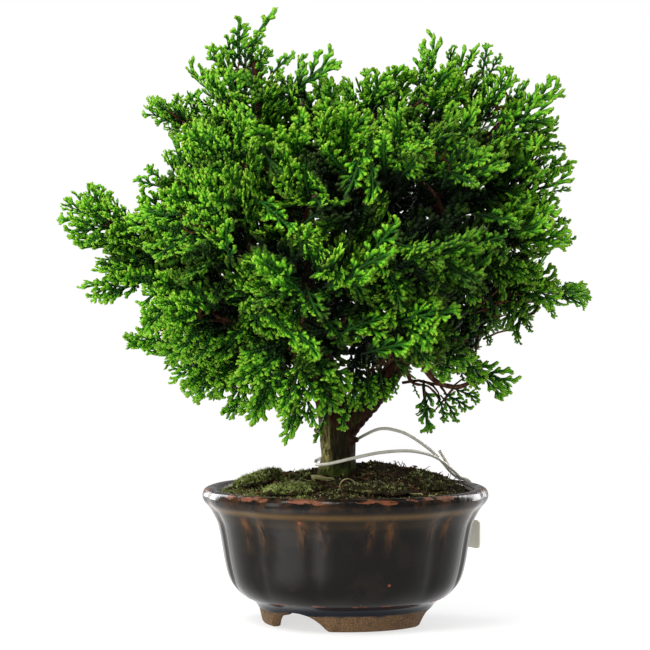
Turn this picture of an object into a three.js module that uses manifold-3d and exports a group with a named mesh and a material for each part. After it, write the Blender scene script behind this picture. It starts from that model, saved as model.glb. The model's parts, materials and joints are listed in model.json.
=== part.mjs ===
import * as THREE from "three";
import { mergeVertices } from "three/addons/utils/BufferGeometryUtils.js";
import Module from "manifold-3d";

// Hinoki cypress bonsai in a lobed, glazed pot. Millimetres, +Z up, front towards -Y.
// Everything is laid out about the pot's own axis, and the finished group is then moved so
// that its origin is at the middle of the base of its bounding box.

const wasm = await Module();
wasm.setup();

// ---- driving dimensions -------------------------------------------------------------

const GAP = 0.3; // clearance between pieces that touch
const DEGREE = Math.PI / 180;
const FRONT = -90 * DEGREE; // angle of the -Y direction about +Z

const POT = {
  rimRadius: 75,
  lipTop: 71,
  lipUnder: 60,
  neckRadius: 69.5,
  mouthRadius: 66,
  floorTop: 15,
  underside: 10.2,
  floorRadius: 40,
  drainRadius: 8,
  lobes: 12,
  grooveDepth: 2.8,
  lipGrooveDepth: 1.0,
  grooveWidth: 4.5 * DEGREE,
  grooveFrom: [10, 24], // heights over which the grooves come in above the foot
  grooveTo: [50, 62], // heights over which they pass into the lip's shallower ones
  segments: 48,
};

const FOOT = {
  innerRadius: 35.5,
  outerRadius: 42.6,
  neckRadius: 45.7,
  height: 7.6,
  archWidth: 33,
  archHeight: 9.2,
  archCorner: 6, // how far in from the arch's foot its crown begins
  archLean: 1, // how far its sides lean in below the corner
  archShoulder: 0.85, // height of the bend in its sides, as a share of its height
  archAngles: [-35.5 * DEGREE, 84.5 * DEGREE, 204.5 * DEGREE], // from the front, towards +X
};

const MESH = { size: 30, thick: 1.2, holes: 5, pitch: 5.6, hole: 4 };
const WIRE = { radius: 0.6, splay: 9, bend: 1.2 };

const SOIL = {
  edge: 68.6,
  radius: 64.6,
  ballRadius: 64.2, // of the root ball, a little clear of the pot
  ridgeY: 4,
  fall: 1.2,
  segments: 48,
  rings: 11,
};

const TIE_DIAMETER = 1.7;
const TIE_STEPS = 78;

// ---- finishes -----------------------------------------------------------------------

const finish = (color, roughness, metalness = 0) =>
  new THREE.MeshStandardMaterial({ color, roughness, metalness });

const GLAZE = () => finish(0x241b18, 0.15);
const SOIL_BROWN = () => finish(0x3a2a1c, 0.95);
const MOSS_GREEN = () => finish(0x4d6420, 0.95);
const BARK = () => finish(0x6a5434, 0.9);
const BRANCH_BROWN = () => finish(0x5a3020, 0.85);
const LEAF_GREEN = () => finish(0x3f7d20, 0.6);
const MESH_BLACK = () => finish(0x202020, 0.6);
const WIRE_METAL = () => finish(0xb0b0b0, 0.4, 1);
const TIE_GREY = () => finish(0xb9bdb4, 0.45);
const LABEL_CREAM = () => finish(0xe6e4cf, 0.5);

// ---- solids -------------------------------------------------------------------------

/** Geometry with shared vertices and only positions, its faces turned outwards. */
function closed(geometry) {
  const plain = geometry.index ? geometry.toNonIndexed() : geometry.clone();
  plain.deleteAttribute("normal");
  plain.deleteAttribute("uv");
  const merged = mergeVertices(plain, 1e-3);
  const place = merged.attributes.position;
  const corner = [new THREE.Vector3(), new THREE.Vector3(), new THREE.Vector3()];
  const kept = [];
  let volume = 0;
  for (let i = 0; i < merged.index.count; i += 3) {
    const ids = [0, 1, 2].map((k) => merged.index.getX(i + k));
    if (new Set(ids).size < 3) continue;
    ids.forEach((id, k) => corner[k].fromBufferAttribute(place, id));
    volume += corner[0].dot(corner[1].clone().cross(corner[2]));
    kept.push(ids);
  }
  const turned = volume < 0 ? kept.map(([a, b, c]) => [a, c, b]) : kept;
  merged.setIndex(turned.flat());
  return merged;
}

/** Closed geometry as a solid that can be joined and cut. */
function solid(geometry) {
  const shape = closed(geometry);
  return new wasm.Manifold(
    new wasm.Mesh({
      numProp: 3,
      vertProperties: new Float32Array(shape.attributes.position.array),
      triVerts: new Uint32Array(shape.index.array),
    }),
  );
}

/** A solid's triangles as a geometry. */
function geometryOf(body) {
  const mesh = body.getMesh();
  const geometry = new THREE.BufferGeometry();
  geometry.setAttribute("position", new THREE.BufferAttribute(mesh.vertProperties.slice(), 3));
  geometry.setIndex([...mesh.triVerts]);
  return geometry;
}

/** The largest of the bodies that a cut leaves. */
function largest(body) {
  const parts = body.decompose();
  return parts.reduce((best, part) => (part.volume() > best.volume() ? part : best));
}

const joined = (bodies) => bodies.reduce((whole, body) => whole.add(body));

const vector = ([x, y, z]) => new THREE.Vector3(x, y, z);

const smooth = (low, high, value) => THREE.MathUtils.smoothstep(value, low, high);

/** A lathe's vertices, moved in place by a function of (radius, angle, height, row). */
function turned(outline, segments, place) {
  const geometry = new THREE.LatheGeometry(outline, segments);
  geometry.rotateX(90 * DEGREE);
  const at = geometry.attributes.position;
  for (let i = 0; i < at.count; i++) {
    const radius = Math.hypot(at.getX(i), at.getY(i));
    const angle = Math.atan2(at.getY(i), at.getX(i));
    const [r, z] = place(radius, angle, at.getZ(i), i % outline.length);
    at.setXYZ(i, r * Math.cos(angle), r * Math.sin(angle), z);
  }
  return geometry;
}

/** A round stem along a curve: radiusAt runs from 0 at its foot to 1 at its tip. */
function stem(points, radiusAt, { sides = 6, steps = 6, grow = 0, knots = 0 } = {}) {
  const curve = new THREE.CatmullRomCurve3(points.map(vector));
  const centre = curve.getSpacedPoints(steps);
  const { tangents, normals, binormals } = curve.computeFrenetFrames(steps, false);
  centre[0].addScaledVector(tangents[0], -grow);
  centre[steps].addScaledVector(tangents[steps], grow);
  const geometry = closed(new THREE.CylinderGeometry(1, 1, steps, sides, steps));
  const at = geometry.attributes.position;
  for (let i = 0; i < at.count; i++) {
    const row = Math.round(at.getY(i) + steps / 2);
    const [across, up] = [at.getX(i), at.getZ(i)];
    const ridge = 1 + knots * Math.sin(3 * Math.atan2(up, across) + row);
    const radius = radiusAt(row / steps) * ridge + grow;
    const p = centre[row].clone();
    p.addScaledVector(normals[row], across * radius);
    p.addScaledVector(binormals[row], up * radius);
    at.setXYZ(i, p.x, p.y, p.z);
  }
  return solid(geometry);
}

const taper = (foot, tip) => (t) => foot + (tip - foot) * t;

function named(name, geometry, material) {
  const mesh = new THREE.Mesh(geometry, material);
  mesh.name = name;
  return mesh;
}

// ---- pot ----------------------------------------------------------------------------

/** 1 in the bottom of a groove between two lobes, 0 on the lobe. */
function groove(angle) {
  const lobe = 360 * DEGREE / POT.lobes;
  const fromLobe = THREE.MathUtils.euclideanModulo(angle - FRONT, lobe);
  return Math.exp(-(((fromLobe - lobe / 2) / POT.grooveWidth) ** 2));
}

/** The pot's wall in section: foot, bowl, rolled lip, inside wall, floor and drain hole. */
function potOutline() {
  const outline = new THREE.Path();
  outline.moveTo(FOOT.innerRadius, 0);
  outline.lineTo(FOOT.outerRadius, 0);
  outline.lineTo(FOOT.neckRadius, FOOT.height);
  outline.splineThru([
    new THREE.Vector2(52.6, 12.2),
    new THREE.Vector2(58.8, 19.5),
    new THREE.Vector2(62.5, 29),
    new THREE.Vector2(65, 42),
    new THREE.Vector2(POT.neckRadius, POT.lipUnder),
  ]);
  outline.lineTo(POT.rimRadius, POT.lipUnder + 4);
  outline.lineTo(POT.rimRadius, POT.lipTop - 3);
  outline.lineTo(POT.rimRadius - 3, POT.lipTop);
  const outsideRows = outline.getPoints(1).length;
  outline.lineTo(POT.mouthRadius + 2, POT.lipTop);
  outline.lineTo(POT.mouthRadius, POT.lipTop - 2);
  outline.splineThru([
    new THREE.Vector2(60.5, 45),
    new THREE.Vector2(57, 27),
    new THREE.Vector2(POT.floorRadius, POT.floorTop),
  ]);
  outline.lineTo(POT.drainRadius, POT.floorTop);
  outline.lineTo(POT.drainRadius, POT.underside);
  outline.lineTo(FOOT.innerRadius, POT.underside);
  outline.lineTo(FOOT.innerRadius, 0);
  return { points: outline.getPoints(1), outsideRows };
}

const CUT_SPARE = 5; // how far an arch's cut passes the foot ring on either side

/** One of the arched openings between the feet, as the solid that cuts it. */
function footArch(angle) {
  const half = FOOT.archWidth / 2;
  const below = -1; // the cut starts under the foot
  const side = half - FOOT.archLean;
  const crown = half - FOOT.archCorner;
  const shoulder = FOOT.archHeight * FOOT.archShoulder;
  const shape = new THREE.Shape();
  shape.moveTo(-half, below);
  shape.lineTo(half, below);
  shape.quadraticCurveTo(side, shoulder, crown, FOOT.archHeight);
  shape.lineTo(-crown, FOOT.archHeight);
  shape.quadraticCurveTo(-side, shoulder, -half, below);
  const geometry = new THREE.ExtrudeGeometry(shape, {
    depth: FOOT.neckRadius - FOOT.innerRadius + 2 * CUT_SPARE,
    bevelEnabled: false,
    curveSegments: 3,
  });
  geometry.rotateX(90 * DEGREE);
  geometry.translate(0, CUT_SPARE - FOOT.innerRadius, 0);
  geometry.rotateZ(angle);
  return solid(geometry);
}

function pot() {
  const { points, outsideRows } = potOutline();
  const bowl = turned(points, POT.segments, (radius, angle, z, row) => {
    if (row >= outsideRows) return [radius, z];
    const share = smooth(...POT.grooveTo, z);
    const wall = POT.grooveDepth * smooth(...POT.grooveFrom, z) * (1 - share);
    const lip = POT.lipGrooveDepth * share;
    return [radius - (wall + lip) * groove(angle), z];
  });
  const cut = FOOT.archAngles.reduce((body, angle) => body.subtract(footArch(angle)), solid(bowl));
  return named("pot", geometryOf(cut), GLAZE());
}

// ---- drainage -----------------------------------------------------------------------

const MESH_BASE = POT.floorTop + GAP;
const MESH_TOP = MESH_BASE + MESH.thick;

function drainMesh() {
  const plate = new THREE.BoxGeometry(MESH.size, MESH.size, MESH.thick);
  const first = -((MESH.holes - 1) * MESH.pitch) / 2;
  let body = solid(plate);
  for (let i = 0; i < MESH.holes; i++) {
    for (let j = 0; j < MESH.holes; j++) {
      const hole = new THREE.BoxGeometry(MESH.hole, MESH.hole, MESH.thick * 2);
      hole.translate(first + i * MESH.pitch, first + j * MESH.pitch, 0);
      body = body.subtract(solid(hole));
    }
  }
  const geometry = geometryOf(body);
  geometry.translate(0, 0, MESH_BASE + MESH.thick / 2);
  return named("drain_mesh", geometry, MESH_BLACK());
}

/** The wire staple over the drain mesh, its legs down the hole and spread under the floor. */
function meshWire() {
  const leg = MESH.pitch;
  const top = MESH_TOP + GAP + WIRE.radius;
  const under = POT.underside - GAP - WIRE.radius;
  const side = (sign) => [
    [sign * leg * 0.6, 0, top],
    [sign * leg, 0, top - WIRE.bend],
    [sign * leg, 0, (POT.floorTop + POT.underside) / 2],
    [sign * leg, 0, under + WIRE.bend],
    [sign * (leg + WIRE.bend), 0, under],
    [sign * (leg + WIRE.splay), 0, under],
  ];
  const points = [...side(-1).reverse(), ...side(1)];
  const wire = stem(points, taper(WIRE.radius, WIRE.radius), { steps: 30 });
  return named("mesh_wire", geometryOf(wire), WIRE_METAL());
}

// ---- wood ---------------------------------------------------------------------------

const TRUNK_FOOT = 62; // how deep the trunk stands in the root ball
const FORK = [-5, 0, 106];

const LEFT_LEADER = [FORK, [-12, 0, 132], [-19, 1, 165], [-29, 2, 205], [-41, 0, 250], [-48, 0, 296]];
const RIGHT_LEADER = [
  [-4, 0, 97],
  [4, -1, 106.5],
  [13.4, -1.5, 117],
  [21, -2, 126],
  [37, 0, 152],
  [47, 2, 190],
  [52, 3, 230],
  [55, 4, 268],
];
const TRUNK = [[-4, 0, TRUNK_FOOT], [-4, 0, 84], [-4, 0, 95], FORK];
const TRUNK_RADIUS = 9;
const TRUNK_FLARE = 2.2; // how much wider the trunk is in the soil
const FLARE_SPAN = [0.22, 0.55]; // share of the trunk's length over which the flare dies out
const LEFT_TAPER = [9, 2.2]; // radius at the foot and at the tip
const RIGHT_TAPER = [6.8, 2];
const ROOT_TAPER = [3.4, 1.4];
const WOOD_KNOTS = 0.04; // how uneven the wood is, as a share of its radius
const SURFACE_ROOTS = [25, 215, 255, 290, 340]; // degrees about the trunk, from +X
const ROOT_RUN = [[4, 83], [9, 79.5], [13.5, 75.5]]; // each root's distance out and height

function trunkSolid(grow) {
  const flare = (t) => TRUNK_RADIUS + TRUNK_FLARE * (1 - smooth(...FLARE_SPAN, t));
  const [middleX] = TRUNK[0];
  const roots = SURFACE_ROOTS.map((angle) => {
    const [c, s] = [Math.cos(angle * DEGREE), Math.sin(angle * DEGREE)];
    const line = ROOT_RUN.map(([out, z]) => [middleX + out * c, out * s, z]);
    return stem(line, taper(...ROOT_TAPER), { sides: 6, steps: 2, grow });
  });
  return joined([
    stem(TRUNK, flare, { sides: 14, steps: 9, grow, knots: WOOD_KNOTS }),
    stem(LEFT_LEADER, taper(...LEFT_TAPER), { sides: 8, steps: 9, grow, knots: WOOD_KNOTS }),
    stem(RIGHT_LEADER, taper(...RIGHT_TAPER), { sides: 8, steps: 10, grow, knots: WOOD_KNOTS }),
    ...roots,
  ]);
}

// Each branch leaves a leader at root, runs to its hub and forks there to its pads.
const BRANCHES = {
  branch_left_low: { root: [-13, 0, 136], hub: [-48, 4, 150], thick: 4 },
  branch_left_mid: { root: [-23, 1, 180], hub: [-56, 4, 196], thick: 4 },
  branch_left_top: { root: [-37, 0, 235], hub: [-60, -8, 250], thick: 3.4 },
  branch_front_low: { root: [-11, 0, 126], hub: [-24, -26, 148], thick: 4 },
  branch_front_high: { root: [-24, 1, 188], hub: [-20, -30, 214], thick: 3.4 },
  branch_right_low: { root: [30, 0, 137], hub: [46, -12, 146], thick: 4 },
  branch_right_mid: { root: [45, 1, 182], hub: [74, -4, 194], thick: 3.6 },
  branch_right_top: { root: [51, 3, 222], hub: [66, -8, 242], thick: 3 },
  branch_crown: { root: [50, 3, 214], hub: [33, 4, 238], thick: 2.6 },
  branch_back_left: { root: [-19, 1, 164], hub: [-26, 30, 182], thick: 4.2 },
  branch_back_right: { root: [44, 1, 176], hub: [38, 32, 190], thick: 4 },
};

// Foliage: the middle and half sizes of each pad, and the wood that carries it.
const PADS = [
  { name: "foliage_top_leader", at: [-49, 0, 305], half: [11, 11, 18], on: "trunk" },
  { name: "foliage_crown_left", at: [-60, 0, 278], half: [25, 28, 21], on: "trunk" },
  { name: "foliage_crown_middle", at: [-24, 4, 275], half: [24, 28, 22], on: "trunk" },
  { name: "foliage_left_horn", at: [-92, -2, 268], half: [16, 15, 11], on: "branch_left_top" },
  { name: "foliage_left_shoulder", at: [-80, -8, 246], half: [27, 30, 22], on: "branch_left_top" },
  { name: "foliage_crown_inner", at: [18, 0, 268], half: [19, 26, 24], on: "branch_crown" },
  { name: "foliage_crown_right", at: [52, 6, 283], half: [27, 31, 22], on: "trunk" },
  { name: "foliage_right_shoulder", at: [87, 2, 267], half: [25, 30, 22], on: "branch_right_top" },
  { name: "foliage_front_cleft", at: [-3, -38, 248], half: [28, 30, 24], on: "branch_front_high" },
  { name: "foliage_front_upper_left", at: [-53, -46, 244], half: [33, 30, 26], on: "branch_left_top" },
  { name: "foliage_left_upper", at: [-100, -4, 222], half: [23, 30, 27], on: "branch_left_mid" },
  { name: "foliage_left_tip", at: [-126, -4, 210], half: [24, 20, 17], on: "branch_left_mid" },
  { name: "foliage_front_left", at: [-74, -52, 202], half: [31, 30, 28], on: "branch_left_mid" },
  { name: "foliage_left_middle", at: [-114, 2, 182], half: [25, 30, 24], on: "branch_left_low" },
  { name: "foliage_left_skirt", at: [-98, 6, 152], half: [22, 28, 18], on: "branch_left_low" },
  { name: "foliage_front_left_low", at: [-76, -46, 162], half: [32, 29, 25], on: "branch_left_low" },
  { name: "foliage_lower_left", at: [-66, -6, 125], half: [28, 30, 20], on: "branch_left_low" },
  { name: "foliage_lower_front", at: [-28, -40, 130], half: [29, 27, 27], on: "branch_front_low" },
  { name: "foliage_front_middle", at: [-18, -62, 180], half: [35, 28, 32], on: "branch_front_low" },
  { name: "foliage_front_upper", at: [-13, -62, 222], half: [31, 27, 26], on: "branch_front_high" },
  { name: "foliage_front_right_low", at: [34, -46, 151], half: [33, 29, 25], on: "branch_right_low" },
  { name: "foliage_front_right", at: [44, -54, 190], half: [33, 28, 25], on: "branch_right_mid" },
  { name: "foliage_front_upper_right", at: [48, -46, 243], half: [31, 30, 28], on: "branch_right_top" },
  { name: "foliage_right_upper", at: [94, -2, 234], half: [25, 32, 26], on: "branch_right_top" },
  { name: "foliage_right_middle", at: [90, -14, 200], half: [29, 32, 21], on: "branch_right_mid" },
  { name: "foliage_right_tip", at: [103, 0, 168], half: [25, 28, 18], on: "branch_right_mid" },
  { name: "foliage_right_skirt", at: [70, 2, 147], half: [27, 30, 21], on: "branch_right_low" },
  { name: "foliage_right_hanging", at: [54, -6, 116], half: [17, 11, 14], on: "branch_right_low" },
  { name: "foliage_back_upper_left", at: [-52, 48, 238], half: [38, 32, 33], on: "branch_back_left" },
  { name: "foliage_back_upper_right", at: [42, 52, 240], half: [40, 32, 33], on: "branch_back_right" },
  { name: "foliage_back_left", at: [-76, 46, 188], half: [37, 32, 32], on: "branch_back_left" },
  { name: "foliage_back_middle", at: [0, 62, 192], half: [40, 30, 32], on: "branch_back_left" },
  { name: "foliage_back_right", at: [72, 48, 190], half: [38, 32, 32], on: "branch_back_right" },
  { name: "foliage_back_low_left", at: [-44, 42, 142], half: [36, 32, 25], on: "branch_back_left" },
  { name: "foliage_back_low_right", at: [38, 44, 142], half: [36, 32, 25], on: "branch_back_right" },
];

const TWIG_REACH = 0.8; // how far a twig runs from its hub to the middle of its pad
const TWIG_SHARE = 0.6; // a twig's thickness, as a share of its branch's
const TWIG_TIP = 1; // radius at a twig's end
const BRANCH_BOW = 3; // how far a branch bows upwards
const TWIG_BOW = 2.5;

function branchSolid(name, { root, hub, thick }, grow) {
  const [foot, fork] = [vector(root), vector(hub)];
  const middle = foot.clone().lerp(fork, 0.5).add(new THREE.Vector3(0, 0, BRANCH_BOW));
  const limb = [root, middle.toArray(), hub];
  const twigs = PADS.filter((pad) => pad.on === name).map((pad) => {
    const tip = fork.clone().lerp(vector(pad.at), TWIG_REACH);
    const bow = fork.clone().lerp(tip, 0.5).add(new THREE.Vector3(0, 0, TWIG_BOW));
    const line = [hub, bow.toArray(), tip.toArray()];
    return stem(line, taper(thick * TWIG_SHARE, TWIG_TIP), { sides: 5, steps: 3, grow });
  });
  const main = stem(limb, taper(thick, thick * TWIG_SHARE), { sides: 6, steps: 4, grow });
  return joined([main, ...twigs]);
}

// ---- foliage pads -------------------------------------------------------------------

const PAD_FILL = 1.03; // the faceted form's corners stand this much outside the rounded one
const HALF_SPACE = 160; // side of the block that trims a pad, wider than any pad

/** How far a pad's rounded form reaches from its middle in one direction. */
function reach(pad, direction) {
  const [a, b, c] = pad.half;
  return 1 / Math.hypot(direction.x / a, direction.y / b, direction.z / c);
}

/** A pad, cut flat half way to each neighbour so that the two never meet. */
function padSolid(pad) {
  const form = new THREE.IcosahedronGeometry(PAD_FILL, 1);
  form.scale(...pad.half);
  form.translate(...pad.at);
  const middle = vector(pad.at);
  let body = solid(form);
  for (const other of PADS) {
    const across = vector(other.at).sub(middle);
    const distance = across.length();
    if (other === pad || distance > Math.max(...pad.half) + Math.max(...other.half)) continue;
    across.normalize();
    const share = reach(pad, across) / (reach(pad, across) + reach(other, across));
    const block = new THREE.BoxGeometry(HALF_SPACE, HALF_SPACE, HALF_SPACE);
    block.translate(0, 0, HALF_SPACE / 2 + distance * share - GAP / 2);
    block.applyQuaternion(new THREE.Quaternion().setFromUnitVectors(vector([0, 0, 1]), across));
    block.translate(...pad.at);
    body = body.subtract(solid(block));
  }
  return body;
}

// ---- soil and moss ------------------------------------------------------------------

// The soil's ridge from side to side: x and height.
const RIDGE = [
  [-64, 68.6],
  [-58, 70.2],
  [-50, 74.2],
  [-39, 77.4],
  [-30, 78.2],
  [-13, 80.4],
  [0, 82.6],
  [12, 84],
  [22, 83.2],
  [40, 79.2],
  [53, 75.8],
  [60, 71.6],
  [64, 68.6],
];

/** Height of the ridge at a distance to the side. */
function ridgeHeight(x) {
  const next = RIDGE.findIndex(([at]) => at > x);
  if (next < 1) return SOIL.edge;
  const [[x0, z0], [x1, z1]] = [RIDGE[next - 1], RIDGE[next]];
  return THREE.MathUtils.mapLinear(x, x0, x1, z0, z1);
}

/** Height of the soil's surface: a ridge that falls to the rim in front and behind. */
function soilHeight(x, y) {
  const half = Math.sqrt(Math.max(SOIL.radius ** 2 - x * x, 1));
  const off = y - SOIL.ridgeY;
  const run = off < 0 ? -off / (half + SOIL.ridgeY) : off / (half - SOIL.ridgeY);
  const left = 1 - THREE.MathUtils.clamp(run, 0, 1);
  return SOIL.edge + (ridgeHeight(x) - SOIL.edge) * left ** SOIL.fall;
}

const RECESS = 4; // how deep the drain mesh and its wire sit in the root ball

function rootBall(wood) {
  const outline = new THREE.Path();
  outline.moveTo(0, MESH_BASE);
  outline.lineTo(POT.floorRadius - 1, MESH_BASE);
  outline.splineThru([
    new THREE.Vector2(56, 27.5),
    new THREE.Vector2(59.7, 45),
    new THREE.Vector2(SOIL.ballRadius, SOIL.edge - 4),
  ]);
  for (let ring = SOIL.rings; ring >= 0; ring--) {
    outline.lineTo((SOIL.ballRadius * ring) / SOIL.rings, SOIL.edge);
  }
  const edge = Math.fround(SOIL.edge); // as a vertex holds it
  const ball = turned(outline.getPoints(1), SOIL.segments, (radius, angle, z) => {
    const top = soilHeight(radius * Math.cos(angle), radius * Math.sin(angle));
    return [radius, z === edge ? top : z];
  });
  const side = MESH.size + 2 * GAP;
  const recess = new THREE.BoxGeometry(side, side, 2 * RECESS);
  recess.translate(0, 0, MESH_BASE);
  const body = solid(ball).subtract(solid(recess)).subtract(wood);
  return named("root_ball", geometryOf(body), SOIL_BROWN());
}

const MOSS_GAP = 0.9; // above the soil's curve, so that the faceted soil stays clear

// Moss patches: middle x and y, half sizes along x and y, and thickness.
const MOSS = {
  moss_left: [-46, 2, 14, 23, 3],
  moss_front_left: [-28, -38, 17, 13, 2.6],
  moss_front_right: [16, -42, 19, 12, 2.2],
  moss_right: [44, -16, 12, 18, 2],
  moss_back: [-6, 38, 26, 14, 2.4],
};

// A moss patch in section: share of its half size, and of its thickness.
const CUSHION = [
  [0, 0],
  [0.55, 0],
  [1, 0],
  [0.94, 0.6],
  [0.7, 0.9],
  [0.35, 1],
  [0, 1],
];

function mossPatch([x0, y0, halfX, halfY, thick]) {
  const lens = CUSHION.map(([r, h]) => new THREE.Vector2(r, h));
  const geometry = new THREE.LatheGeometry(lens, 14);
  geometry.rotateX(90 * DEGREE);
  const at = geometry.attributes.position;
  for (let i = 0; i < at.count; i++) {
    const [x, y] = [x0 + halfX * at.getX(i), y0 + halfY * at.getY(i)];
    at.setXYZ(i, x, y, soilHeight(x, y) + MOSS_GAP + thick * at.getZ(i));
  }
  return closed(geometry);
}

// ---- label tie and label ------------------------------------------------------------

// The tie's route: from the label up over the back of the rim, round behind the trunk, back
// across its front, over the rim again, round below it, and up to its free end.
const TIE_ROUTE = [
  [65.5, 28.6, 51.9],
  [67.2, 31.2, 56],
  [67.7, 35.6, 64],
  [65.2, 38.6, 70.4],
  [60.2, 38.2, 72.6],
  [56.2, 34.2, 76.2],
  [52.2, 29.4, 81.2],
  [47.7, 24.9, 86.2],
  [42.2, 22, 90.8],
  [35.4, 20, 95.5],
  [28.4, 18.5, 98.7],
  [18.8, 17, 100.1],
  [9, 15, 96.2],
  [0, 14.2, 90.6],
  [-8, 12.4, 86.6],
  [-13.6, 7.6, 84.8],
  [-15.8, 0.6, 84],
  [-14.6, -8.2, 83.2],
  [-8.4, -14.6, 84.2],
  [0.5, -16.8, 86.4],
  [9.5, -15.2, 88.4],
  [18, -11.5, 89.7],
  [28.4, -6.5, 90.2],
  [36.3, 0, 89.4],
  [44.5, 8, 87],
  [49.9, 14.8, 84],
  [54.4, 22.6, 80.2],
  [58.6, 29.4, 76.2],
  [62.2, 33.8, 72.6],
  [66.4, 35.4, 70.8],
  [69.8, 35.8, 65],
  [71, 37, 58.4],
  [70.2, 40, 53.4],
  [67.2, 43, 53.2],
  [65, 45, 58.2],
  [63.8, 45.4, 64.5],
  [61.8, 44, 71],
  [58.4, 40.8, 75.2],
  [54.6, 36.2, 80.6],
  [50.6, 31.2, 87.2],
];

function labelTie() {
  const section = new THREE.Shape();
  section.absarc(0, 0, TIE_DIAMETER / 2, 0, 360 * DEGREE);
  const geometry = new THREE.ExtrudeGeometry(section, {
    steps: TIE_STEPS,
    curveSegments: 4,
    bevelEnabled: false,
    extrudePath: new THREE.CatmullRomCurve3(TIE_ROUTE.map(vector)),
  });
  return named("label_tie", closed(geometry), TIE_GREY());
}

const LABEL = {
  width: 19,
  height: 15,
  thick: 0.9,
  corner: 2.5,
  at: [66.6, 26.8, 43.55],
  turn: 118 * DEGREE,
};

function label() {
  const { corner } = LABEL;
  const [x, z] = [LABEL.width / 2, LABEL.height / 2];
  const shape = new THREE.Shape();
  shape.moveTo(corner - x, -z);
  shape.lineTo(x - corner, -z);
  shape.absarc(x - corner, corner - z, corner, -90 * DEGREE, 0);
  shape.absarc(x - corner, z - corner, corner, 0, 90 * DEGREE);
  shape.absarc(corner - x, z - corner, corner, 90 * DEGREE, 180 * DEGREE);
  shape.absarc(corner - x, corner - z, corner, 180 * DEGREE, 270 * DEGREE);
  const geometry = new THREE.ExtrudeGeometry(shape, {
    depth: LABEL.thick,
    bevelEnabled: false,
    curveSegments: 4,
  });
  geometry.rotateX(90 * DEGREE);
  geometry.rotateZ(LABEL.turn);
  geometry.translate(...LABEL.at);
  return named("label", closed(geometry), LABEL_CREAM());
}

// ---- assembly -----------------------------------------------------------------------

function buildTree() {
  const pieces = [];
  let wood = trunkSolid(GAP);
  pieces.push(named("trunk", geometryOf(trunkSolid(0)), BARK()));
  for (const [name, branch] of Object.entries(BRANCHES)) {
    const body = largest(branchSolid(name, branch, 0).subtract(wood));
    pieces.push(named(name, geometryOf(body), BRANCH_BROWN()));
    wood = wood.add(branchSolid(name, branch, GAP));
  }
  for (const pad of PADS) {
    const body = largest(padSolid(pad).subtract(wood));
    pieces.push(named(pad.name, geometryOf(body), LEAF_GREEN()));
  }
  return { pieces, wood };
}

function buildBonsai() {
  const group = new THREE.Group();
  const { pieces, wood } = buildTree();
  group.add(pot(), drainMesh(), meshWire(), rootBall(wood));
  for (const [name, patch] of Object.entries(MOSS)) {
    group.add(named(name, mossPatch(patch), MOSS_GREEN()));
  }
  group.add(...pieces);
  const box = new THREE.Box3().setFromObject(group, true);
  const middle = box.getCenter(new THREE.Vector3());
  group.add(labelTie(), label());
  group.position.set(-middle.x, -middle.y, -box.min.z);
  group.updateMatrixWorld(true);
  return group;
}

export default buildBonsai();
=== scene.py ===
import json
import logging
import math
from dataclasses import dataclass, field
from enum import Enum
from typing import Callable, Iterable, Sequence

import bmesh
import bpy
import numpy as np
from bpy.types import Material, Mesh, NodeSocket, Object
from mathutils import Matrix, Vector, noise
from mathutils.bvhtree import BVHTree

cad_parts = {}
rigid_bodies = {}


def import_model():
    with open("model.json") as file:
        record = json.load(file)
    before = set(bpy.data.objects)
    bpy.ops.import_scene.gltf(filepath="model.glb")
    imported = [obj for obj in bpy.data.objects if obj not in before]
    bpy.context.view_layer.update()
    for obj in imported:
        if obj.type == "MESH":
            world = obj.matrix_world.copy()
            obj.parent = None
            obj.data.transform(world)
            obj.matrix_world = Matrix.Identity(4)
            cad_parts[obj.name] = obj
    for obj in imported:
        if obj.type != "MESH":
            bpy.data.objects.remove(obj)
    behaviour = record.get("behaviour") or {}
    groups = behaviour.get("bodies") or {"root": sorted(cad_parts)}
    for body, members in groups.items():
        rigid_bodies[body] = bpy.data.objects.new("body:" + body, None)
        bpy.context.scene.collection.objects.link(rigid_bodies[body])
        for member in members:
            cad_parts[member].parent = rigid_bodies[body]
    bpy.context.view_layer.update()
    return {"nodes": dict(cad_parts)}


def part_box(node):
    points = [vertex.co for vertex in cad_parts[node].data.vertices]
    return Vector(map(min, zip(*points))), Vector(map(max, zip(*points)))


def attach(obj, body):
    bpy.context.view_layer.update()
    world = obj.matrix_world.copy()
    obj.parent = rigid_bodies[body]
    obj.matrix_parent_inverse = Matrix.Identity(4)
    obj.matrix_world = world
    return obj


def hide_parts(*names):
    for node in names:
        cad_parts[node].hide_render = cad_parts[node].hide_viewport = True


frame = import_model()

LOG = logging.getLogger("bonsai")
MM = 0.001
BODY = "root"
UP = Vector((0.0, 0.0, 1.0))
FRONT = math.radians(-90)  # angle of the tree's front about +Z

Colour = tuple[float, float, float]
Point = tuple[float, float, float]


def pot_axis() -> Vector:
    """Foot of the pot's own axis, from the middle of the pot's box.

    Returns:
        The point where the axis meets the surface that the pot stands on.
    """
    low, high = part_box("pot")
    return Vector(((low.x + high.x) / 2, (low.y + high.y) / 2, 0.0))


POT_AXIS = pot_axis()


def spot(x: float, y: float, z: float) -> Vector:
    """A place given in millimetres about the pot's axis, as a point of the frame in metres."""
    return POT_AXIS + Vector((x, y, z)) * MM


def smooth(low: float, high: float, value: float) -> float:
    """Smooth step from 0 at low to 1 at high."""
    t = min(max((value - low) / (high - low), 0.0), 1.0)
    return t * t * (3 - 2 * t)


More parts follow.
